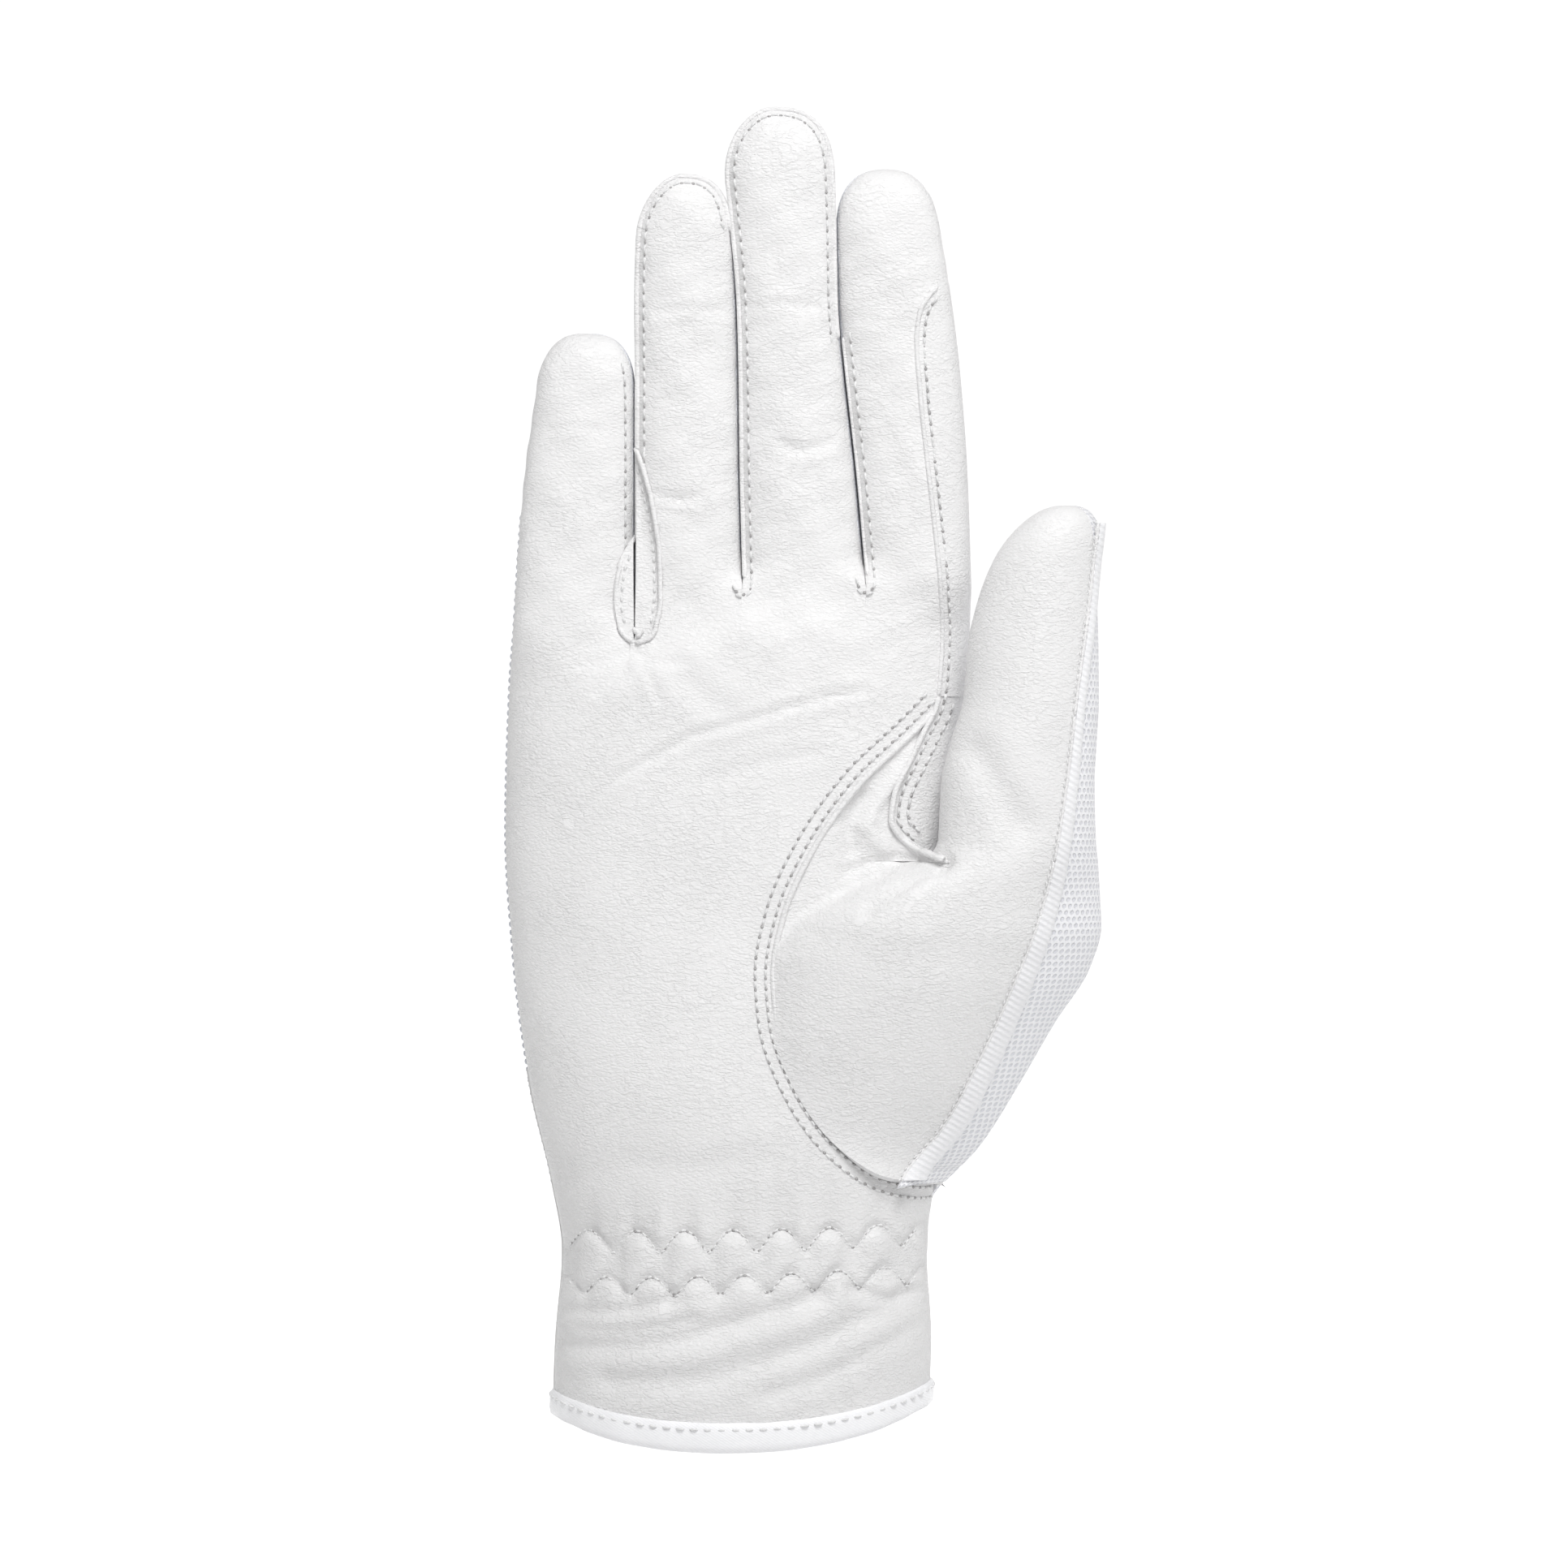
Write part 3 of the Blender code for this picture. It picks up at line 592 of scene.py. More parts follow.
def stitch_parts(path, pitch, up, length=0.62, radius=0.21):
    """A row of short threads, each a low capsule that dips into the leather at both ends."""
    marks, ahead = spaced(path, pitch)
    vertices, faces = [], []
    last = (len(THREAD_RINGS) - 1) * THREAD_SIDES
    for p, a, g in zip(marks, ahead, spread(up, len(marks))):
        across = np.cross(a, g)
        across /= max(np.linalg.norm(across), 1e-9)
        over = np.cross(across, a)
        start = len(vertices)
        for along, size, height in THREAD_RINGS:
            middle = p + a * along * length * pitch + over * height * radius
            for s in range(THREAD_SIDES):
                turn = 2 * math.pi * s / THREAD_SIDES
                vertices.append(middle + size * radius * (math.cos(turn) * across + math.sin(turn) * over))
        for low in range(start, start + last, THREAD_SIDES):
            high = low + THREAD_SIDES
            for s in range(THREAD_SIDES):
                n = (s + 1) % THREAD_SIDES
                faces.append((low + s, high + s, high + n, low + n))
        faces.append(tuple(range(start, start + THREAD_SIDES)))
        faces.append(tuple(range(start + last + THREAD_SIDES - 1, start + last - 1, -1)))
    return vertices, faces


def hole_parts(path, pitch, up, radius=0.26):
    """Needle holes: small sunken rounds between the threads of a row, coloured dark with painted shade
    standing for the shadow inside each hole.
    """
    marks, ahead = spaced(path, pitch)
    marks = (marks[1:] + marks[:-1]) / 2
    vertices, faces = [], []
    for p, a, g in zip(marks, ahead[1:], spread(up, len(marks))):
        across = np.cross(a, g)
        across /= max(np.linalg.norm(across), 1e-9)
        over = np.cross(across, a)
        start = len(vertices)
        for size, height in HOLE_RINGS:
            for s in range(HOLE_SIDES if size else 1):
                turn = 2 * math.pi * s / HOLE_SIDES
                flat = math.cos(turn) * across + HOLE_STRETCH * math.sin(turn) * a
                vertices.append(p + size * radius * flat + height * over)
        for s in range(HOLE_SIDES):
            n = (s + 1) % HOLE_SIDES
            faces.append((start + n, start + s, start + HOLE_SIDES))
            faces.append((start + s, start + n, start + HOLE_SIDES + 1))
    return vertices, faces


def joined(name, parts):
    """One piece from many cords, threads or holes."""
    vertices, faces = [], []
    for more, rings in parts:
        base = len(vertices)
        vertices.extend(more)
        faces.extend(tuple(base + i for i in face) for face in rings)
    item = mesh_object(name, vertices, faces)
    activate(item)
    bpy.ops.object.mode_set(mode="EDIT")
    bpy.ops.mesh.select_all(action="SELECT")
    bpy.ops.mesh.normals_make_consistent(inside=False)
    bpy.ops.object.mode_set(mode="OBJECT")
    return item


# ---------------------------------------------------------------- finishes
class Field:
    """A shader value that can be written in sums."""

    def __init__(self, finish, socket):
        self.finish, self.socket = finish, socket

    def math(self, operation, *others):
        inputs = {0: self.socket}
        for i, other in enumerate(others, 1):
            inputs[i] = other
        return self.finish.node("ShaderNodeMath", {"operation": operation}, inputs)

    def __add__(self, other):
        return self.math("ADD", other)

    def __mul__(self, other):
        return self.math("MULTIPLY", other)

    def __sub__(self, other):
        return self.math("SUBTRACT", other)

    def __truediv__(self, other):
        return self.math("DIVIDE", other)

    def __rsub__(self, other):
        return (self * -1.0) + other

    def least(self, other):
        return self.math("MINIMUM", other)

    def fraction(self):
        return self.math("FRACT")

    def step(self, low, high):
        """0 below low, 1 above high, and smooth between them."""
        return self.finish.node("ShaderNodeMapRange", {"interpolation_type": "SMOOTHSTEP"},
                                {0: self.socket, 1: low, 2: high, 3: 0.0, 4: 1.0})


class Finish:
    """One material: nodes are added by node(), and shader() sets the surface itself."""

    def __init__(self, name):
        self.material = bpy.data.materials.new(name)
        self.material.use_nodes = True
        self.tree = self.material.node_tree
        self.surface = self.tree.nodes["Principled BSDF"]

    def node(self, kind, settings, inputs, output=0):
        made = self.tree.nodes.new(kind)
        for key, value in settings.items():
            setattr(made, key, value)
        for key, value in inputs.items():
            self.plug(made.inputs[key], value)
        return Field(self, made.outputs[output])

    def plug(self, socket, value):
        if isinstance(value, Field):
            self.tree.links.new(value.socket, socket)
        elif isinstance(value, bpy.types.NodeSocket):
            self.tree.links.new(value, socket)
        else:
            socket.default_value = value

    def shader(self, **values):
        for key, value in values.items():
            self.plug(self.surface.inputs[key.replace("_", " ")], value)
        return self.material

    def place(self, scale=(1.0, 1.0, 1.0), use_map=False):
        source = self.node("ShaderNodeTexCoord", {}, {}, 2 if use_map else 3)
        return self.node("ShaderNodeMapping", {}, {"Vector": source, "Scale": scale})

    def noise(self, where, scale, detail=2.0, roughness=0.5):
        settings = {"Vector": where, "Scale": scale, "Detail": detail, "Roughness": roughness}
        return self.node("ShaderNodeTexNoise", {}, settings)

    def cells(self, where, scale, feature="F1"):
        return self.node("ShaderNodeTexVoronoi", {"feature": feature}, {"Vector": where, "Scale": scale})

    def tint(self, share, first, second):
        return self.node("ShaderNodeMix", {"data_type": "RGBA"},
                         {0: share, 6: (*first, 1.0), 7: (*second, 1.0)}, 2)

    def bump(self, height, strength, distance):
        return self.node("ShaderNodeBump", {},
                         {"Strength": strength, "Distance": distance, "Height": height})


def leather_finish(name, light, dark, stretch, grain, painted_wrist_shade=0.0):
    """Soft grain leather: pebbles drawn out sideways and fine wrinkles, with painted shade in their hollows,
    and painted shade darkening it towards the wrist.
    """
    finish = Finish(name)
    plain = finish.place()
    pebbles = finish.cells(finish.place(stretch), 1750.0, "DISTANCE_TO_EDGE").step(0.0, 0.35)
    lines = finish.noise(finish.place((0.42, 0.42, 1.0)), 850.0, 3.0, 0.55) - 0.5
    wrinkles = (lines * lines).step(0.0, 0.0035)
    patches = finish.noise(plain, 95.0, 2.0).step(0.38, 0.62)
    clouds = finish.noise(plain, 38.0, 3.0)
    pores = finish.noise(plain, 3200.0, 1.0)
    height = pebbles * 0.45 + wrinkles * (patches * 0.45 + 0.25) + pores * 0.12
    # The grooves between pebbles and the creases of the wrinkles are painted darker: painted shade in the
    # grain's hollows. The clouds are the leather's own uneven tone.
    shade = (1.0 - pebbles) * 0.20 + clouds.step(0.35, 0.7) * 0.15
    shade = shade + (1.0 - wrinkles) * (patches * 0.10 + 0.10)
    # Painted shade: the colour is darkened below 80 mm of height, fully below 45 mm, standing in for the
    # light falling off towards the wrist.
    height_up = finish.node("ShaderNodeSeparateXYZ", {}, {0: plain}, 2)
    shade = shade + (1.0 - height_up.step(0.045, 0.08)) * painted_wrist_shade
    return finish.shader(
        Base_Color=finish.tint(shade, light, dark), Roughness=pebbles * -0.10 + clouds * 0.12 + 0.52,
        Normal=finish.bump(height, 0.5, grain * MM), Specular_IOR_Level=0.38, Sheen_Weight=0.08)


def mesh_finish(name, light, dark, pitch, relief):
    """Stretch mesh: round holes in a honeycomb, read from the panel's map."""
    finish = Finish(name)
    where = finish.place((1.0 / (pitch * MM),) * 3, use_map=True)
    split = finish.node("ShaderNodeSeparateXYZ", {}, {0: where})
    across, up = split, Field(finish, split.socket.node.outputs[1])
    tall = math.sqrt(3.0)

    def spot(shift):
        x = (across + shift).fraction() - 0.5
        y = ((up / tall + shift).fraction() - 0.5) * tall
        return x * x + y * y

    nearest = spot(0.0).least(spot(0.5))
    thread = nearest.step(0.03, 0.13)
    fibres = finish.noise(finish.place((1.0, 1.0, 3.0)), 1900.0, 2.0)
    clouds = finish.noise(finish.place(), 45.0, 2.0)
    shade = (1.0 - thread) * 0.85 + clouds * 0.10
    return finish.shader(
        Base_Color=finish.tint(shade, light, dark), Roughness=fibres * 0.1 + 0.72,
        Normal=finish.bump(thread + fibres * 0.25, 0.8, relief * MM), Sheen_Weight=0.25,
        Specular_IOR_Level=0.25)


def ribbed_finish(name, light, dark, pitch, relief, rough, sheen=0.1):
    """Woven tape or elastic: fine ribs across the tape, read from the piece's own place."""
    finish = Finish(name)
    where = finish.place()
    split = finish.node("ShaderNodeSeparateXYZ", {}, {0: where})
    up = Field(finish, split.socket.node.outputs[2]) + split * 0.6
    wave = finish.node("ShaderNodeMath", {"operation": "SINE"}, {0: up * (2 * math.pi / (pitch * MM))})
    fibres = finish.noise(finish.place((1.0, 1.0, 4.0)), 1500.0, 3.0)
    height = wave * 0.5 + fibres * 0.6
    return finish.shader(
        Base_Color=finish.tint(fibres.step(0.3, 0.75), light, dark), Roughness=fibres * 0.1 + rough,
        Normal=finish.bump(height, 0.4, relief * MM), Sheen_Weight=sheen)


def fuzz_finish(name, light, dark, scale, relief):
    """Hook or loop tape, thread, and the dark inside of needle holes, which is painted shade."""
    finish = Finish(name)
    where = finish.place()
    loops = finish.cells(where, scale)
    fibres = finish.noise(where, scale * 2.0, 3.0)
    return finish.shader(
        Base_Color=finish.tint(loops.step(0.1, 0.6), light, dark), Roughness=fibres * 0.2 + 0.7,
        Normal=finish.bump(loops + fibres, 0.7, relief * MM))


# The last number of the first leather sets the painted shade that darkens it towards the wrist.
LEATHER = leather_finish("white_leather", (0.86, 0.855, 0.856), (0.76, 0.755, 0.756),
                         (0.55, 0.8, 1.0), 0.26, 0.5)
TIP_LEATHER = leather_finish("finger_leather", (0.865, 0.86, 0.861), (0.775, 0.769, 0.77),
                             (0.5, 0.8, 1.0), 0.24)
BACK_LEATHER = leather_finish("back_leather", (0.85, 0.845, 0.84), (0.76, 0.755, 0.75), (0.9, 0.9, 1.0), 0.12)
MESH = mesh_finish("white_mesh", (0.93, 0.93, 0.95), (0.73, 0.735, 0.78), 1.25, 0.22)
KNIT = mesh_finish("white_knit", (0.84, 0.85, 0.88), (0.68, 0.70, 0.75), 0.7, 0.16)
BAND = ribbed_finish("knit_band", (0.93, 0.93, 0.94), (0.84, 0.84, 0.86), 1.1, 0.30, 0.6, 0.3)
SATIN = ribbed_finish("satin_tape", (0.95, 0.95, 0.965), (0.90, 0.90, 0.92), 0.45, 0.05, 0.32, 0.3)
ELASTIC = ribbed_finish("wrist_elastic", (0.82, 0.82, 0.82), (0.66, 0.66, 0.67), 1.1, 0.25, 0.6)
THREAD = fuzz_finish("white_thread", (0.88, 0.88, 0.88), (0.78, 0.78, 0.78), 2600.0, 0.05)
# Needle holes are dark discs of painted shade, standing for the shadow inside each puncture.
HOLE_SHADE = fuzz_finish("needle_hole_painted_shade", (0.55, 0.54, 0.54), (0.42, 0.41, 0.41), 2600.0, 0.05)
HOOKS = fuzz_finish("hook_and_loop", (0.82, 0.82, 0.82), (0.60, 0.60, 0.61), 1400.0, 0.35)


def dress(item, material, body=None, bend=None, replaces=()):
    """Give a piece its finish and the body it rides on. A piece given a bend only has its placement baked
    into its mesh: the bend's bodies and heights are not used.
    """
    item.data.materials.clear()
    item.data.materials.append(material)
    if bend:
        first, second, low, high = bend
        [c * MM for c in low]
        [c * MM for c in high]
        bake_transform(item)
    else:
        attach(item, body)
    if replaces:
        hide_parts(*replaces)
    return item


# ---------------------------------------------------------------- hand panels
def grid_between(low_z, high_z, first, last, across, surface):
    """Rows of points from first(z) to last(z), angles in degrees."""
    z = np.linspace(low_z, high_z, max(3, int((high_z - low_z) / ROW)))[:, None]
    share = np.linspace(0.0, 1.0, across)[None, :]
    start, end = first(z) + 0.0 * z, last(z) + 0.0 * z
    return surface(start * (1 - share) + end * share, z + 0.0 * share)


def constant(value):
    """The same angle at every height."""
    return lambda z: value + 0.0 * z


def palm_edge_path():
    """The right-hand edge of the palm leather: up the side of the wrist, then along the thumb seam."""
    seam = rounded(THUMB_SEAM)
    angles = hand_angle(seam[:, 0], seam[:, 1])
    side = np.array([(-22.0, HEM_TOP), (-22.0, 20.0), (-22.0, 34.0), (-21.0, WRIST_SIDE_TOP), (-8.0, 44.8)])
    top = np.array([(hand_angle(32.9, PALM_TOP), PALM_TOP)])
    return np.concatenate([side, np.stack([angles, seam[:, 1]], -1), top])


def build_palm():
    """One panel of leather from the little finger's side to the thumb seam, its rows bending to meet it."""
    path = palm_edge_path()
    steps = np.hypot(np.diff(path[:, 0]) * 0.55, np.diff(path[:, 1]))
    marks = np.concatenate([[0.0], np.cumsum(steps)])
    share = np.linspace(0.0, 1.0, 260)
    end_angle = np.interp(share * marks[-1], marks, path[:, 0])
    end_z = np.interp(share * marks[-1], marks, path[:, 1])
    tall = PALM_TOP - HEM_TOP
    start_z = HEM_TOP + tall * (0.55 * share + 0.45 * (end_z - HEM_TOP) / tall)
    across = np.linspace(0.0, 1.0, 150)[None, :]
    lean = across**2.4
    angle = 180.0 * (1 - across) + end_angle[:, None] * across
    z = start_z[:, None] * (1 - lean) + end_z[:, None] * lean
    points = hand_point(angle, z)
    front = np.clip(np.sin(np.radians(angle)), 0.0, 1.0) ** 0.5
    item = panel("palm_leather", points, relief=palm_relief(points[..., 0], z) * front)
    dress(item, LEATHER, "hand", replaces=("palm_panel", "little_ring_gusset"))


def build_hand_back():
    """The mesh back, the leather of the wrist under it, and the two facings of its opening."""
    points = grid_between(BACK_FOOT, PALM_TOP, constant(-24.0), constant(-180.0), 110, hand_point)
    dress(panel("back_mesh", points), MESH, "hand", replaces=("back_mesh_panel",))
    wrist = HEM_TOP, BACK_FOOT + 0.8

    def thumb_side(z):
        return np.where(z < 44.0, -22.0, -24.0)

    sides = (("little", lambda z: hand_angle(-1.2, z, back=True), constant(-180.0), 60),
             ("thumb", thumb_side, lambda z: hand_angle(1.2, z, back=True), 50))
    for side, first, last, across in sides:
        points = grid_between(*wrist, first, last, across, hand_point)
        ripple = 0.25 * np.cos(0.77 * points[..., 0]) * hill(points[..., 2] - 32.0, 6.0)
        item = panel("back_wrist_leather_" + side + "_side", points, relief=ripple, lift=0.25)
        dress(item, BACK_LEATHER, "hand", replaces=("back_wrist_" + side + "_side",))
    for side, low, high in (("little", -4.2, -0.2), ("thumb", 0.2, 4.2)):
        points = grid_between(HEM_TOP, BACK_FOOT - 1.0, lambda z, b=high: hand_angle(b, z, back=True),
                              lambda z, a=low: hand_angle(a, z, back=True), 8, hand_point)
        item = panel("placket_facing_" + side, points, wall=0.6, lift=-1.0)
        dress(item, LEATHER, "hand", replaces=("placket_facing_" + side + "_side",))


def level_out(points):
    """Level directions straight out from the middle of the hand."""
    level = points * np.array([1.0, 1.0, 0.0])
    return level / np.linalg.norm(level, axis=1, keepdims=True)


def build_wrist():
    """The elastic inside the wrist, and the tape round the hem."""
    points = grid_between(26.0, 39.0, constant(172.0), constant(8.0), 90, hand_point)
    item = panel("wrist_elastic_band", points, wall=0.6, lift=-1.5)
    dress(item, ELASTIC, "hand", replaces=("wrist_elastic",))
    # The hem tape is folded over the edge, so its section is a flat loop
    around = np.linspace(268.0, -88.0, 220)
    profile = ((0.2, 5.4), (0.55, 4.9), (0.62, 3.6), (0.62, 1.6), (0.45, 0.4), (0.0, 0.0), (-0.75, 0.0),
               (-1.35, 0.6), (-1.45, 2.6), (-1.4, 4.9), (-1.05, 5.3))
    wave = 0.28 * np.sin(np.radians(around) * 9.0) + 0.18 * np.sin(np.radians(around) * 23.0 + 1.0)
    grid = []
    for out, height in profile:
        base = hand_point(around, np.full(around.shape, HEM_LOW + height))
        grid.append(base + level_out(base) * (out + wave * 0.5)[:, None])
    grid = np.array(grid[::-1])
    grid = np.concatenate([grid, grid[:1]], axis=0)
    item = panel("hem_tape", grid, wall=0.3)
    dress(item, SATIN, "hand", replaces=("hem_binding",))


def build_index_side():
    """Leather below the index finger, from its seam round the edge of the hand."""
    def strip_edge(z):
        return hand_angle(STRIP_EDGE(z), z)

    points = grid_between(99.8, PALM_TOP, strip_edge, constant(-26.0), 40, hand_point)
    dress(panel("index_side_leather", points, lift=-0.25), LEATHER, "hand", replaces=("index_side_panel",))


# ---------------------------------------------------------------- fingers
def seam_angle(name, side):
    """Angle of a finger's front seam on one side, as a function of height."""
    plan = FINGERS[name]
    left = side == "left"
    crotch = plan["crotch"][0 if left else 1]
    if name == "little" and left:
        return constant(186.0)
    if name == "index" and not left:
        def strip(z):
            left_edge, right_edge = CURVES[name][0](z), CURVES[name][1](z)
            first = plan["edges"][0][0]
            left_edge = np.where(z < first, slit_x(3, z), left_edge)
            right_edge = np.where(z < first, slit_x(4, z), right_edge)
            share = (STRIP_EDGE(z) - (left_edge + right_edge) / 2) / ((right_edge - left_edge) / 2)
            angle = np.degrees(np.arccos(np.clip(share, -1.0, 1.0)))
            return angle * (1.0 - ramp(z, 190.0, 197.0)) + 8.0 * ramp(z, 190.0, 197.0)
        return strip

    def regular(z):
        turn = SIDE_ANGLE * ramp(z, crotch, crotch + SEAM_RISE)
        return 180.0 - turn if left else turn + 0.0 * z

    return regular


def tip_rows(name, low):
    """Heights of rows from low to the tip, close together where the tip rounds over."""
    if name == "thumb":
        tip, length = THUMB_TIP, THUMB_ROUND
    else:
        tip, length = FINGERS[name]["tip"], FINGERS[name]["round"]
    straight = np.linspace(low, tip - length, max(3, int((tip - length - low) / ROW)))
    turn = np.linspace(0.0, math.pi / 2, 22)[1:]
    return np.concatenate([straight, tip - length + length * np.sin(turn) ** (2.0 / TIP_POWER)])


def finger_grid(name, rows, first, last, across, back=False):
    """Points of a finger's panel between two seams, and their angles."""
    z = np.asarray(rows)[:, None]
    share = np.linspace(0.0, 1.0, across)[None, :]
    angle = (first(z) + 0.0 * z) * (1 - share) + (last(z) + 0.0 * z) * share
    return finger_point(name, angle, z + 0.0 * share, back), angle


def bend_of(name, part):
    zone = ZONES[name][0 if part == "lower" else 1]
    bodies = ("hand", name + "_lower") if part == "lower" else (name + "_lower", name + "_tip")
    if name == "thumb":
        middle = [(THUMB[0](z) + THUMB[1](z)) / 2 for z in zone]
    else:
        middle = [(CURVES[name][0](z) + CURVES[name][1](z)) / 2 for z in zone]
    return (*bodies, (middle[0], 0.0, zone[0]), (middle[0], 0.0, zone[1]))


def split_height(name):
    """Where a finger's pieces change from its lower bend to its upper one."""
    return (ZONES[name][0][1] + ZONES[name][1][0]) / 2


def back_seam_angle(name, side):
    """Angle of a finger's seam on its back, as a function of height."""
    if (name, side) == ("index", "right"):
        return constant(-34.0)
    if (name, side) == ("little", "left"):
        return constant(-174.0)
    crotch = FINGERS[name]["crotch"][0 if side == "left" else 1]

    def regular(z):
        turn = SIDE_ANGLE * ramp(z, crotch, crotch + SEAM_RISE)
        return -180.0 + turn if side == "left" else -turn

    return regular


def build_finger(name):
    """Front and back leather of a finger, and what is sewn in between them at its sides."""
    plan = FINGERS[name]
    split = split_height(name)
    left, right = seam_angle(name, "left"), seam_angle(name, "right")
    low_rows = np.linspace(PALM_TOP, split, int((split - PALM_TOP) / ROW))
    parts = (("lower", low_rows), ("upper", tip_rows(name, split)))
    start_back, end_back = back_seam_angle(name, "right"), back_seam_angle(name, "left")
    sides = [("right", PALM_TOP if name == "index" else plan["crotch"][1], right, start_back)]
    if name != "little":
        sides.insert(0, ("left", plan["crotch"][0], lambda z: end_back(z) + 360.0, left))
    for part, rows in parts:
        bend = bend_of(name, part)
        front, angle = finger_grid(name, rows, left, right, 44)
        relief = finger_relief(name, angle, front[..., 0], front[..., 2])
        gone = {"lower": (name + "_palm_side", name + "_knuckle_sleeve"),
                "upper": (name + "_tip_palm_side", name + "_middle_sleeve")}[part]
        dress(panel(name + "_front_" + part, front, relief=relief), TIP_LEATHER, bend=bend, replaces=gone)
        back, _ = finger_grid(name, rows, start_back, end_back, 30, back=True)
        gone = (name + ("_back" if part == "lower" else "_tip_back"),)
        dress(panel(name + "_back_" + part, back), BACK_LEATHER, bend=bend, replaces=gone)
        for side, foot, first, last in sides:
            own_rows = np.concatenate([[max(foot, rows[0])], rows[rows > foot + 0.2]])
            strip, _ = finger_grid(name, own_rows, first, last, 26 if name == "index" else 12)
            leather = name == "index" and side == "right"
            label = "_side_panel_" if leather else "_" + side + "_fourchette_"
            item = panel(name + label + part, strip)
            gone = (name + "_side_" + side,) if part == "lower" else ()
            dress(item, LEATHER if leather else KNIT, bend=bend, replaces=gone)
        if name == "little" and part == "lower":
            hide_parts("little_side_left")


def front_path(path, depth, out):
    """Lay an (x, z) path on a surface given by its depth towards the palm side."""
    x, z = path[:, 0], path[:, 1]
    step = 0.2
    slope_x = (depth(x + step, z) - depth(x - step, z)) / (2 * step)
    slope_z = (depth(x, z + step) - depth(x, z - step)) / (2 * step)
    normal = np.stack([-slope_x, -np.ones(len(x)), -slope_z], -1)
    normal /= np.linalg.norm(normal, axis=1, keepdims=True)
    return np.stack([x, -depth(x, z), z], -1) + normal * out, normal


def finger_skin(name):
    """The surface of a finger's palm side with its creases, as a depth."""
    def depth(x, z):
        return finger_depth(name, x, z) + finger_relief(name, 90.0, x, z)

    return depth


def outline(name, left_foot, right_foot):
    """The edge of a finger as seen from the palm: up its left side, over its tip, and down its right."""
    halves = []
    for side, foot in ((0, left_foot), (1, right_foot)):
        z = tip_rows(name, foot) if foot else np.array([FINGERS[name]["tip"]])
        left, right, _, _, scale, corner = finger_edges(name, z)
        x = (left + right) / 2 + (right - left) / 2 * (scale if side else -corner)
        halves.append(np.stack([x, z], -1))
    return np.concatenate([halves[0], halves[1][::-1]])


# Finger, foot of the seam on its left, foot on its right (None stops it at the tip), trim from the tip,
# and the radius of its rolled lip
FINGER_SEAMS = (
    ("little", None, 138.6, 5.0, 0.0), ("ring", 138.6, 208.5, 0.0, 0.52), ("middle", 146.6, 186.5, 0.0, 0.46),
    ("index", 147.0, None, 28.0, 0.3),
)


def sew(line, up, pitch, threads, holes):
    """Threads and needle holes along a line that already lies on its surface."""
    threads.append(stitch_parts(line, pitch, up=up))
    holes.append(hole_parts(line, pitch, up=up))


def add_row(path, skin, pitch, threads, holes, out=0.05):
    """A sewn row along an (x, z) path on a surface seen from the palm."""
    sew(*front_path(path, skin, out), pitch, threads, holes)


def build_finger_seams(name, left_foot, right_foot, trim, lip):
    """Stitches and lips along the edges of a finger, and the piping of the index finger's strip."""
    edge, skin = outline(name, left_foot, right_foot), finger_skin(name)
    tip, split = FINGERS[name]["tip"], split_height(name)
    edge = edge[edge[:, 1] < tip - trim + 0.01]
    inner = beside(edge, -STITCH_INSET)
    inner = inner[inner[:, 1] < tip - 0.8 * STITCH_INSET]
    rim = beside(edge, -LIP_INSET)
    for part in ("lower", "upper"):
        low_part = part == "lower"

        def keep(path, overlap=0.0):
            return path[path[:, 1] <= split + overlap] if low_part else path[path[:, 1] >= split - overlap]

        beads, threads, holes = [], [], []
        add_row(keep(inner), skin, EDGE_PITCH, threads, holes)
        if lip:
            path, up = front_path(keep(rim, 0.6), skin, 0.1)
            beads.append(bead_parts(path, lip, up=up))
        if name == "index":
            low, high = (PALM_TOP, split + 0.6) if low_part else (split - 0.6, PIPING_TOP)
            z = np.linspace(low, high, 60)
            strip = np.stack([STRIP_EDGE(z), z], -1)
            path, up = front_path(strip, skin, 0.0)
            beads.append(bead_parts(path, PIPING, up=up))
            row = beside(strip[strip[:, 1] < PIPING_STITCH_TOP], -1.25)
            add_row(row, skin, STRIP_PITCH, threads, holes)
        bend = bend_of(name, part)
        if beads:
            dress(joined(name + "_seam_lips_" + part, beads), LEATHER, bend=bend)
        dress(joined(name + "_stitches_" + part, threads), THREAD, bend=bend)
        dress(joined(name + "_stitch_holes_" + part, holes), HOLE_SHADE, bend=bend)


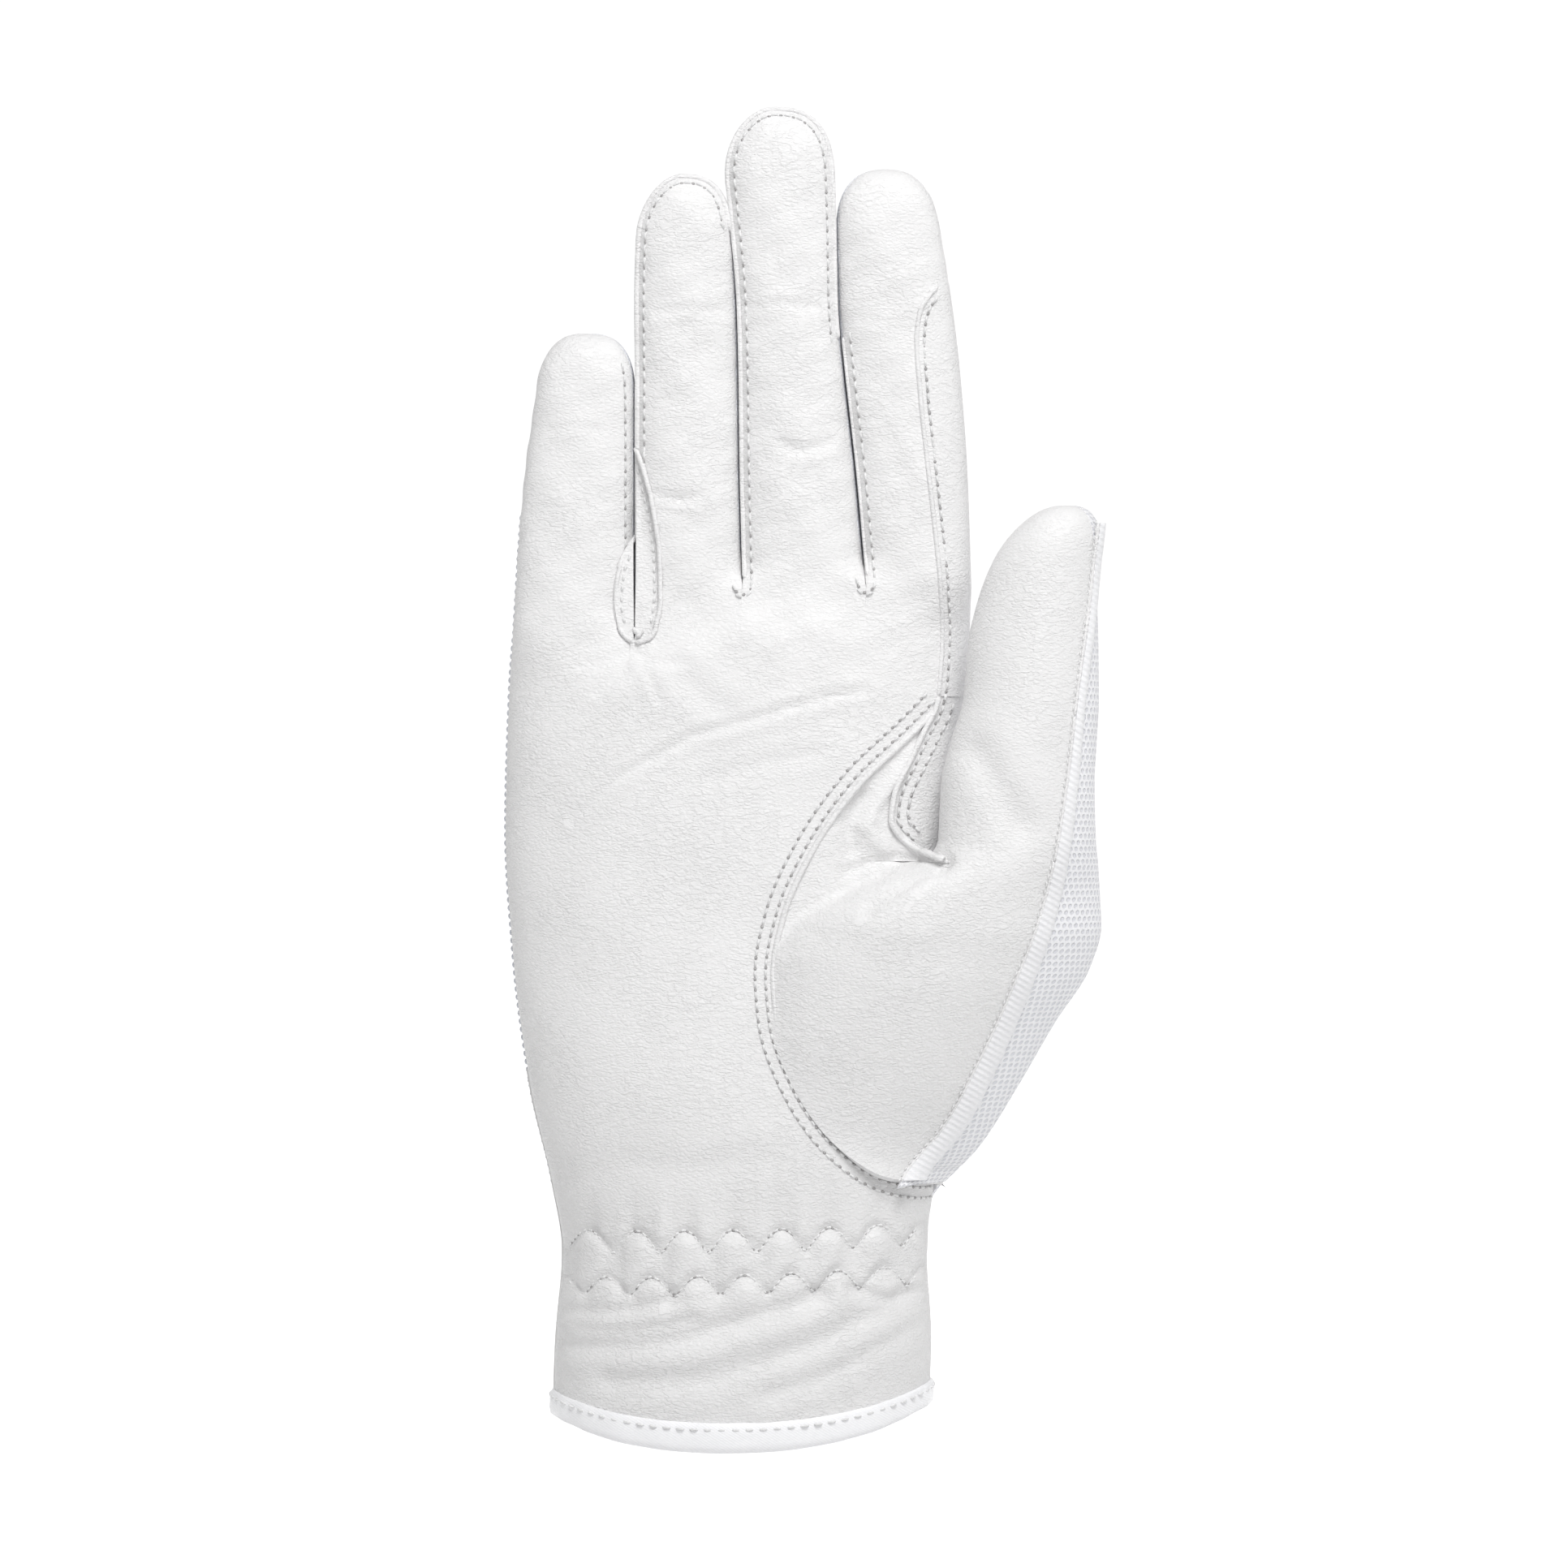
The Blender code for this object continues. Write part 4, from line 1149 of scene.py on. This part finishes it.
def build_gusset():
    """The piped insert at the foot of the slit: one half sewn to each finger."""
    for name, corners, inside in (("ring", GUSSET_RING, 1.0), ("little", GUSSET_LITTLE, -1.0)):
        bend = bend_of(name, "lower")
        pipe = rounded(corners)

        def insert_depth(x, z, name=name):
            flat = 9.0 - 0.13 * (z - 136.0)
            return smooth_max(finger_depth(name, x, z) - 0.5, flat, 1.0)

        path, up = front_path(pipe, finger_skin(name), 0.3)
        parts = [bead_parts(path, PIPING, up=up)]
        dress(joined("gusset_piping_" + name + "_side", parts), LEATHER, bend=bend)
        z = np.linspace(pipe[0, 1] + 0.3, pipe[-1, 1] - 0.6, 50)[:, None]
        share = np.linspace(0.0, 1.0, 12)[None, :]
        far = np.interp(z, pipe[:, 1], pipe[:, 0])
        near = SLITS[1] + inside * (0.12 + 0.10 * ramp(z, 138.0, 150.0))
        low, high = (near, far) if inside > 0 else (far, near)
        x = low * (1 - share) + high * share
        points = np.stack([x, -insert_depth(x, z + 0.0 * share), z + 0.0 * share], -1)
        dress(panel("gusset_insert_" + name + "_side", points, wall=0.5), LEATHER, bend=bend)
        row = beside(pipe, 1.15 * inside)
        row = row[(row[:, 1] > 139.5) & (row[:, 1] < pipe[-1, 1] - 4.0)]
        line, up = front_path(row, insert_depth, 0.05)
        parts = [stitch_parts(line, GUSSET_PITCH, up=up)]
        dress(joined("gusset_stitches_" + name + "_side", parts), THREAD, bend=bend)
    knot = rounded(((-19.2, 137.2), (-18.4, 138.3), (-17.3, 137.4), (-16.6, 137.9), (-17.5, 136.5)), 24)
    path, up = front_path(knot, lambda x, z: finger_depth("ring", x, z) - 0.1, 0.2)
    dress(joined("gusset_bar_tack", [bead_parts(path, 0.45, up=up)]), LEATHER, "hand")


# ---------------------------------------------------------------- thumb
def base_depth(x, z):
    """The ball of the thumb and the palm under it as one soft surface."""
    return smooth_max(hand_depth(x, z) - 0.4, thumb_depth(x, z), 1.8)


def web_depth(x, z):
    """The fold above the ball of the thumb, falling back to the palm."""
    low = ramp(z, THUMB_CROTCH - 0.01, THUMB_CROTCH + 11.0)
    foot = base_depth(x, np.full(np.shape(z), THUMB_CROTCH))
    return foot * (1.0 - low) + (hand_depth(x, z) - 0.4) * low


def mesh_edge(z):
    """Angle at which the thumb's leather meets its mesh."""
    return thumb_angle(MESH_SEAM(z), z)


def back_end(z):
    """Angle at which the mesh of the ball of the thumb ends against the back of the hand."""
    return -thumb_angle(np.maximum(36.0, THUMB[0](z) + 0.3), z)


def build_thumb():
    """The ball of the thumb, the fold above it, the mesh web behind it, and the free thumb."""
    seam = rounded(THUMB_SEAM)

    def seam_x(z):
        return np.interp(z, seam[:, 1], seam[:, 0])

    rows = np.linspace(45.6, THUMB_CROTCH, 90)[:, None]
    share = np.linspace(0.0, 1.0, 76)[None, :]
    start, end = seam_x(rows) - 1.2, MESH_SEAM(rows)
    end = np.maximum(end, start + 0.5)
    x = start * (1 - share) + end * share
    z = rows + 0.0 * share
    points = np.stack([x, -base_depth(x, z), z], -1)
    item = panel("thumb_base_leather_front", points, relief=thumb_relief(x, z))
    dress(item, LEATHER, "hand", replaces=("thumb_base_leather",))

    rows = np.linspace(THUMB_CROTCH, 124.6, 44)[:, None]
    start = seam_x(rows) - 1.2
    end = np.maximum(np.minimum(STRIP_EDGE(rows) + 1.2, 33.2), start + 0.3)
    share = np.linspace(0.0, 1.0, 36)[None, :]
    x = start * (1 - share) + end * share
    z = rows + 0.0 * share
    points = np.stack([x, -web_depth(x, z), z], -1)
    item = panel("thumb_crotch_fold", points, relief=thumb_relief(x, z))
    dress(item, LEATHER, "hand", replaces=("thumb_crotch_leather",))

    base = grid_between(MESH_FOOT, THUMB_CROTCH, mesh_edge, back_end, 50, thumb_point)
    dress(panel("thumb_base_mesh_back", base), MESH, "hand", replaces=("thumb_base_mesh",))
    rows = np.linspace(WEB_FOOT, WEB_TOP, 90)[:, None]
    near = hand_point(-26.0 + 0.0 * rows, rows) - np.array([0.0, 0.3, 0.0])
    low_rows = np.clip(rows, MESH_FOOT, THUMB_CROTCH)
    wrist = hand_point(-4.0 + 0.0 * rows, rows)
    joined_up = ramp(rows, WEB_FOOT, 47.5)[..., None]
    far = thumb_point(back_end(low_rows), low_rows) * joined_up + wrist * (1.0 - joined_up)
    share = np.linspace(0.0, 1.0, 24)[None, :, None]
    web = far * (1.0 - share) + near * share
    web[..., 1] -= 1.2 * np.sin(math.pi * share[..., 0])
    web[..., 2] = rows
    dress(panel("thumb_web_back", web), MESH, "hand")
    split = split_height("thumb")
    for part, rows in (("lower", np.linspace(THUMB_CROTCH, split, 44)), ("upper", tip_rows("thumb", split))):
        bend = bend_of("thumb", part)
        z = np.asarray(rows)[:, None]
        share = np.linspace(0.0, 1.0, 56)[None, :]
        angle = 205.0 * (1 - share) + mesh_edge(z) * share
        points = thumb_point(angle, z + 0.0 * share)
        relief = thumb_relief(points[..., 0], points[..., 2]) * ramp(np.sin(np.radians(angle)), -0.3, 0.2)
        gone = {"lower": ("thumb_lower_leather", "thumb_knuckle_sleeve"),
                "upper": ("thumb_tip_palm_side", "thumb_middle_sleeve")}[part]
        dress(panel("thumb_leather_" + part, points, relief=relief), TIP_LEATHER, bend=bend, replaces=gone)
        angle = mesh_edge(z) * (1 - share) - 155.0 * share
        gone = {"lower": ("thumb_lower_mesh",), "upper": ("thumb_tip_mesh",)}[part]
        points = thumb_point(angle, z + 0.0 * share)
        dress(panel("thumb_mesh_" + part, points), MESH, bend=bend, replaces=gone)


def palm_skin(x, z):
    """The palm's surface with its creases, as a depth."""
    return hand_depth(x, z) + palm_relief(x, z)


def build_knit_edge():
    """The knit of the back shows as a thin scalloped edge down the little finger's side."""
    def scallops(name, path):
        outwards = np.broadcast_to(np.array([-1.0, 0.1, 0.0]), path.shape)
        return joined(name, [stitch_parts(path, KNIT_PITCH, length=0.9, radius=0.34, up=outwards)])

    z = np.linspace(46.0, PALM_TOP, 120)
    item = scallops("knit_edge_hand", hand_point(np.full(z.shape, 184.0), z))
    dress(item, KNIT, "hand")
    z = np.linspace(PALM_TOP, split_height("little"), 40)
    item = scallops("knit_edge_little", finger_point("little", np.full(z.shape, 187.0), z))
    dress(item, KNIT, bend=bend_of("little", "lower"))


def build_hand_seams():
    """The seams of the thumb and the index strip, two short turns at the crotches, and the zigzag rows."""
    seam = rounded(THUMB_SEAM)
    beads, threads, holes = [], [], []
    path, up = front_path(seam[3:], palm_skin, 0.0)
    beads.append(bead_parts(path, PALM_LIP, up=up))
    for offset in (1.25, 3.0):
        add_row(beside(seam[4:], offset), palm_skin, THUMB_SEAM_PITCH, threads, holes)
    z = np.linspace(102.5, PALM_TOP, 60)
    strip = np.stack([STRIP_EDGE(z), z], -1)
    foot = rounded(((35.0, 100.6), (32.8, 100.2), (30.4, 100.9), (28.0, 102.1),
                    (STRIP_EDGE(103.2), 103.2)), 30)

    def strip_skin(x, z):
        return np.maximum(palm_skin(x, z), np.where(x < 33.0, web_depth(x, z), -40.0))

    path, up = front_path(np.concatenate([foot[:-1], strip[strip[:, 1] > 103.3]]), strip_skin, 0.15)
    beads.append(bead_parts(path, PALM_LIP, up=up))
    for offset in (-1.2, -2.8):
        low = strip[strip[:, 1] < 126.0] if offset < -2 else strip
        add_row(beside(low, offset), palm_skin, STRIP_PITCH, threads, holes, out=-0.1)
    for x, foot in ((0.0, 143.4), (20.5, 143.8)):
        turn = rounded(((x - 1.5, foot + 2.2), (x - 1.2, foot + 0.7), (x, foot), (x + 1.2, foot + 0.7),
                        (x + 1.5, foot + 2.2)), 24)
        add_row(turn, finger_skin("middle"), TURN_PITCH, threads, holes)
    dress(joined("palm_seam_lips", beads), LEATHER, "hand")
    dress(joined("palm_stitches", threads), THREAD, "hand")
    dress(joined("palm_stitch_holes", holes), HOLE_SHADE, "hand")
    threads, holes = [], []
    for row in ELASTIC_ROWS:
        x = np.linspace(-28.5, 28.5, 400)
        path, up = front_path(np.stack([x, zigzag(row, x)], -1), palm_skin, 0.06)
        threads.append(stitch_parts(path, ZIGZAG_PITCH, length=0.7, radius=0.17, up=up))
        holes.append(hole_parts(path, ZIGZAG_PITCH, radius=0.24, up=up))
    dress(joined("elastic_zigzag_thread", threads), THREAD, "hand")
    dress(joined("elastic_zigzag_holes", holes), HOLE_SHADE, "hand")
    around = np.linspace(262.0, -82.0, 260)
    base = hand_point(around, np.full(around.shape, HEM_LOW + 4.2))
    out = level_out(base)
    dress(joined("hem_stitches", [stitch_parts(base + out * 0.62, HEM_PITCH, up=out)]), THREAD, "hand")


BAND_WIDTH = smooth((45, 60, 80, 100, 125, 158), (4.0, 3.6, 3.0, 2.2, 1.4, 0.9))


def build_thumb_seams():
    """The seam between the thumb's leather and mesh, with its stitches and its knitted band."""
    split = split_height("thumb")

    def skin(x, z):
        return thumb_depth(x, z) + thumb_relief(x, z)

    pieces = (("base", 46.9, THUMB_CROTCH, None), ("lower", THUMB_CROTCH, split, "lower"),
              ("upper", split, THUMB_TIP - 3.0, "upper"))
    for label, low, high, part in pieces:
        z = np.linspace(low, high, 60)
        line = np.stack([MESH_SEAM(z), z], -1)
        path, up = front_path(line, skin, 0.0)
        bead = joined("thumb_seam_lip_" + label, [bead_parts(path, THUMB_LIP, up=up)])
        path, up = front_path(beside(line, 0.45), skin, 0.12)
        row = joined("thumb_stitches_" + label, [stitch_parts(path, THUMB_PITCH, radius=0.13, up=up)])
        rows = z[:, None]
        share = np.linspace(0.0, 1.0, 9)[None, :]
        limit = THUMB[1](rows) - 0.4
        start = MESH_SEAM(rows)
        x = np.minimum(start + BAND_WIDTH(rows) * share, np.maximum(limit, start + 0.1 * share))
        swell = 0.35 + 0.45 * np.sin(math.pi * np.clip(share, 0.05, 1.0)) ** 0.6
        points = np.stack([x, -skin(x, rows + 0.0 * share), rows + 0.0 * share], -1)
        band = panel("thumb_edge_band_" + label, points, wall=0.5, relief=swell + 0.0 * rows)
        for item, finish in ((bead, LEATHER), (row, THREAD), (band, BAND)):
            if part:
                dress(item, finish, bend=bend_of("thumb", part))
            else:
                dress(item, finish, "hand")


# ---------------------------------------------------------------- seams on the back
def radial_path(angles, z, out):
    """A path round the hand at its angles and heights, and the way outwards from it."""
    base = hand_point(angles, z)
    along = hand_point(angles + 1.0, z) - hand_point(angles - 1.0, z)
    normal = np.stack([-along[..., 1], along[..., 0], 0.0 * z], -1)
    normal /= np.linalg.norm(normal, axis=-1, keepdims=True)
    return base + normal * out, normal


def build_back_seams():
    """Seams above and below the mesh back and along both edges of the opening."""
    beads, threads, holes = [], [], []
    low = np.linspace(-27.0, -176.0, 150)
    for height, gap in ((PALM_TOP, 1.3), (BACK_FOOT, -1.3)):
        path, up = radial_path(low, np.full(low.shape, height), 0.1)
        beads.append(bead_parts(path, BACK_LIP, up=up))
        path, up = radial_path(low, np.full(low.shape, height + gap), 0.25 if gap < 0 else 0.05)
        sew(path, up, STRIP_PITCH, threads, holes)
    for side in (-1.0, 1.0):
        z = np.linspace(HEM_TOP + 1.0, BACK_FOOT, 60)
        path, up = radial_path(hand_angle(side * 1.2, z, back=True), z, 0.25)
        beads.append(bead_parts(path, OPENING_LIP, up=up))
        path, up = radial_path(hand_angle(side * 2.8, z, back=True), z, 0.25)
        sew(path, up, STRIP_PITCH, threads, holes)
    dress(joined("back_seam_lips", beads), LEATHER, "hand")
    dress(joined("back_stitches", threads), THREAD, "hand")
    dress(joined("back_stitch_holes", holes), HOLE_SHADE, "hand")


# ---------------------------------------------------------------- closure tab
def build_tab():
    """The closing tab over the wrist's opening, its root, and its hook and loop."""
    def strip(name, low_x, high_x, low, high, lift, wall, across, corner=0.0):
        z = np.linspace(low, high, 70)[:, None]
        share = np.linspace(0.0, 1.0, across)[None, :]
        near = np.minimum(z - low, high - z) + 0.1
        inside = np.maximum(corner - near, 0.0)
        cut = corner - np.sqrt(np.maximum(corner**2 - inside**2, 0.0))
        x = high_x * (1 - share) + (low_x + cut) * share
        z = z + 0.0 * share
        points, _ = radial_path(hand_angle(x, z, back=True), z, lift)
        return panel(name, points, wall=wall)

    item = strip("loop_tape", -21.5, -3.5, 28.0, 47.0, 1.1, 0.7, 30)
    dress(item, HOOKS, "hand", replaces=("loop_patch",))
    item = strip("tab_root", 12.3, 21.0, 25.0, 50.0, 1.5, 1.0, 20)
    dress(item, BACK_LEATHER, "hand", replaces=("tab_anchor",))
    item = strip("closure_tab_leather", -24.0, 11.9, 25.0, 50.0, 3.5, 1.2, 60, corner=6.0)
    dress(item, BACK_LEATHER, "tab", replaces=("closure_tab",))
    item = strip("hook_tape", -20.5, -4.0, 28.5, 46.5, 2.1, 0.7, 30)
    dress(item, HOOKS, "tab", replaces=("hook_patch",))
    line = rounded(((10.4, 26.8), (-16.0, 26.8), (-20.6, 28.2), (-22.2, 32.5), (-22.2, 42.5), (-20.6, 46.8),
                    (-16.0, 48.2), (10.4, 48.2)))
    path, up = radial_path(hand_angle(line[:, 0], line[:, 1], back=True), line[:, 1], 3.52)
    dress(joined("tab_stitches", [stitch_parts(path, TAB_PITCH, up=up)]), THREAD, "tab")
    dress(joined("tab_stitch_holes", [hole_parts(path, TAB_PITCH, up=up)]), HOLE_SHADE, "tab")
    z = np.linspace(26.5, 48.5, 30)
    rows = []
    for x in (14.0, 19.2):
        path, up = radial_path(hand_angle(x + 0.0 * z, z, back=True), z, 1.55)
        rows.append(stitch_parts(path, TAB_PITCH, up=up))
    dress(joined("tab_root_stitches", rows), THREAD, "hand")


# ---------------------------------------------------------------- stage
FLOOR_HEIGHT, FLOOR_RADIUS = -0.03, 6.0
STUDIO_LEVEL = 0.40
LIGHT_AIM = (0.0, 0.0, 0.13)
LAMPS = (("key", (0.12, -0.66, 0.92), 0.45, 7.4), ("fill", (0.5, -1.0, 0.35), 0.6, 0.8))


def build_floor():
    """A wide pale floor, lit up behind the glove so that it runs into the bright backdrop."""
    bpy.ops.object.select_all(action="DESELECT")
    bpy.ops.mesh.primitive_circle_add(vertices=96, radius=FLOOR_RADIUS, fill_type="NGON",
                                      location=(0.0, 0.0, FLOOR_HEIGHT))
    floor = bpy.context.object
    floor.name = "floor"
    finish = Finish("pale_floor")
    behind = finish.node("ShaderNodeSeparateXYZ", {}, {0: finish.place()}, 1).step(-0.06, 0.08)
    glow = finish.tint(behind, (0.0, 0.0, 0.0), (1.0, 1.0, 1.0))
    floor.data.materials.append(finish.shader(
        Base_Color=(0.85, 0.85, 0.85, 1.0), Roughness=0.95, Emission_Color=glow, Emission_Strength=0.8))


def build_world():
    """Grey studio all round, with a white backdrop straight behind the glove."""
    world = bpy.data.worlds.new("studio")
    bpy.context.scene.world = world
    world.use_nodes = True
    nodes, links = world.node_tree.nodes, world.node_tree.links
    place = nodes.new("ShaderNodeTexCoord")
    split = nodes.new("ShaderNodeSeparateXYZ")
    spread = nodes.new("ShaderNodeMapRange")
    spread.interpolation_type = "SMOOTHSTEP"
    spread.inputs[1].default_value, spread.inputs[2].default_value = 0.86, 0.97
    spread.inputs[3].default_value, spread.inputs[4].default_value = STUDIO_LEVEL, 1.05
    links.new(place.outputs[0], split.inputs[0])
    links.new(split.outputs[1], spread.inputs[0])
    links.new(spread.outputs[0], nodes["Background"].inputs[1])
    nodes["Background"].inputs[0].default_value = (1.0, 1.0, 1.0, 1.0)


def build_lamp(name, place, size, power):
    lamp = bpy.data.lights.new(name, "AREA")
    lamp.energy, lamp.size = power, size
    light = bpy.data.objects.new(name, lamp)
    bpy.context.scene.collection.objects.link(light)
    light.location = place
    aim = np.array(LIGHT_AIM) - np.array(place)
    yaw = math.atan2(aim[1], aim[0]) - math.pi / 2
    pitch = math.atan2(aim[2], math.hypot(aim[0], aim[1]))
    light.rotation_euler = (pitch + math.pi / 2, 0.0, yaw)


def build_stage():
    build_floor()
    build_world()
    for lamp in LAMPS:
        build_lamp(*lamp)
    bpy.context.scene.view_settings.view_transform = "Standard"
    lens = bpy.data.cameras.new("camera")
    lens.lens, lens.sensor_width = 137.3, 36.0
    camera = bpy.data.objects.new("camera", lens)
    bpy.context.scene.collection.objects.link(camera)
    camera.location = (0.0069, -1.0, 0.1124)
    camera.rotation_euler = (math.pi / 2, 0.0, 0.0)
    bpy.context.scene.camera = camera


build_stage()
build_palm()
build_hand_back()
build_wrist()
build_index_side()
for finger in FINGERS:
    build_finger(finger)
for seam_plan in FINGER_SEAMS:
    build_finger_seams(*seam_plan)
build_gusset()
build_knit_edge()
build_thumb()
build_hand_seams()
build_thumb_seams()
build_back_seams()
build_tab()
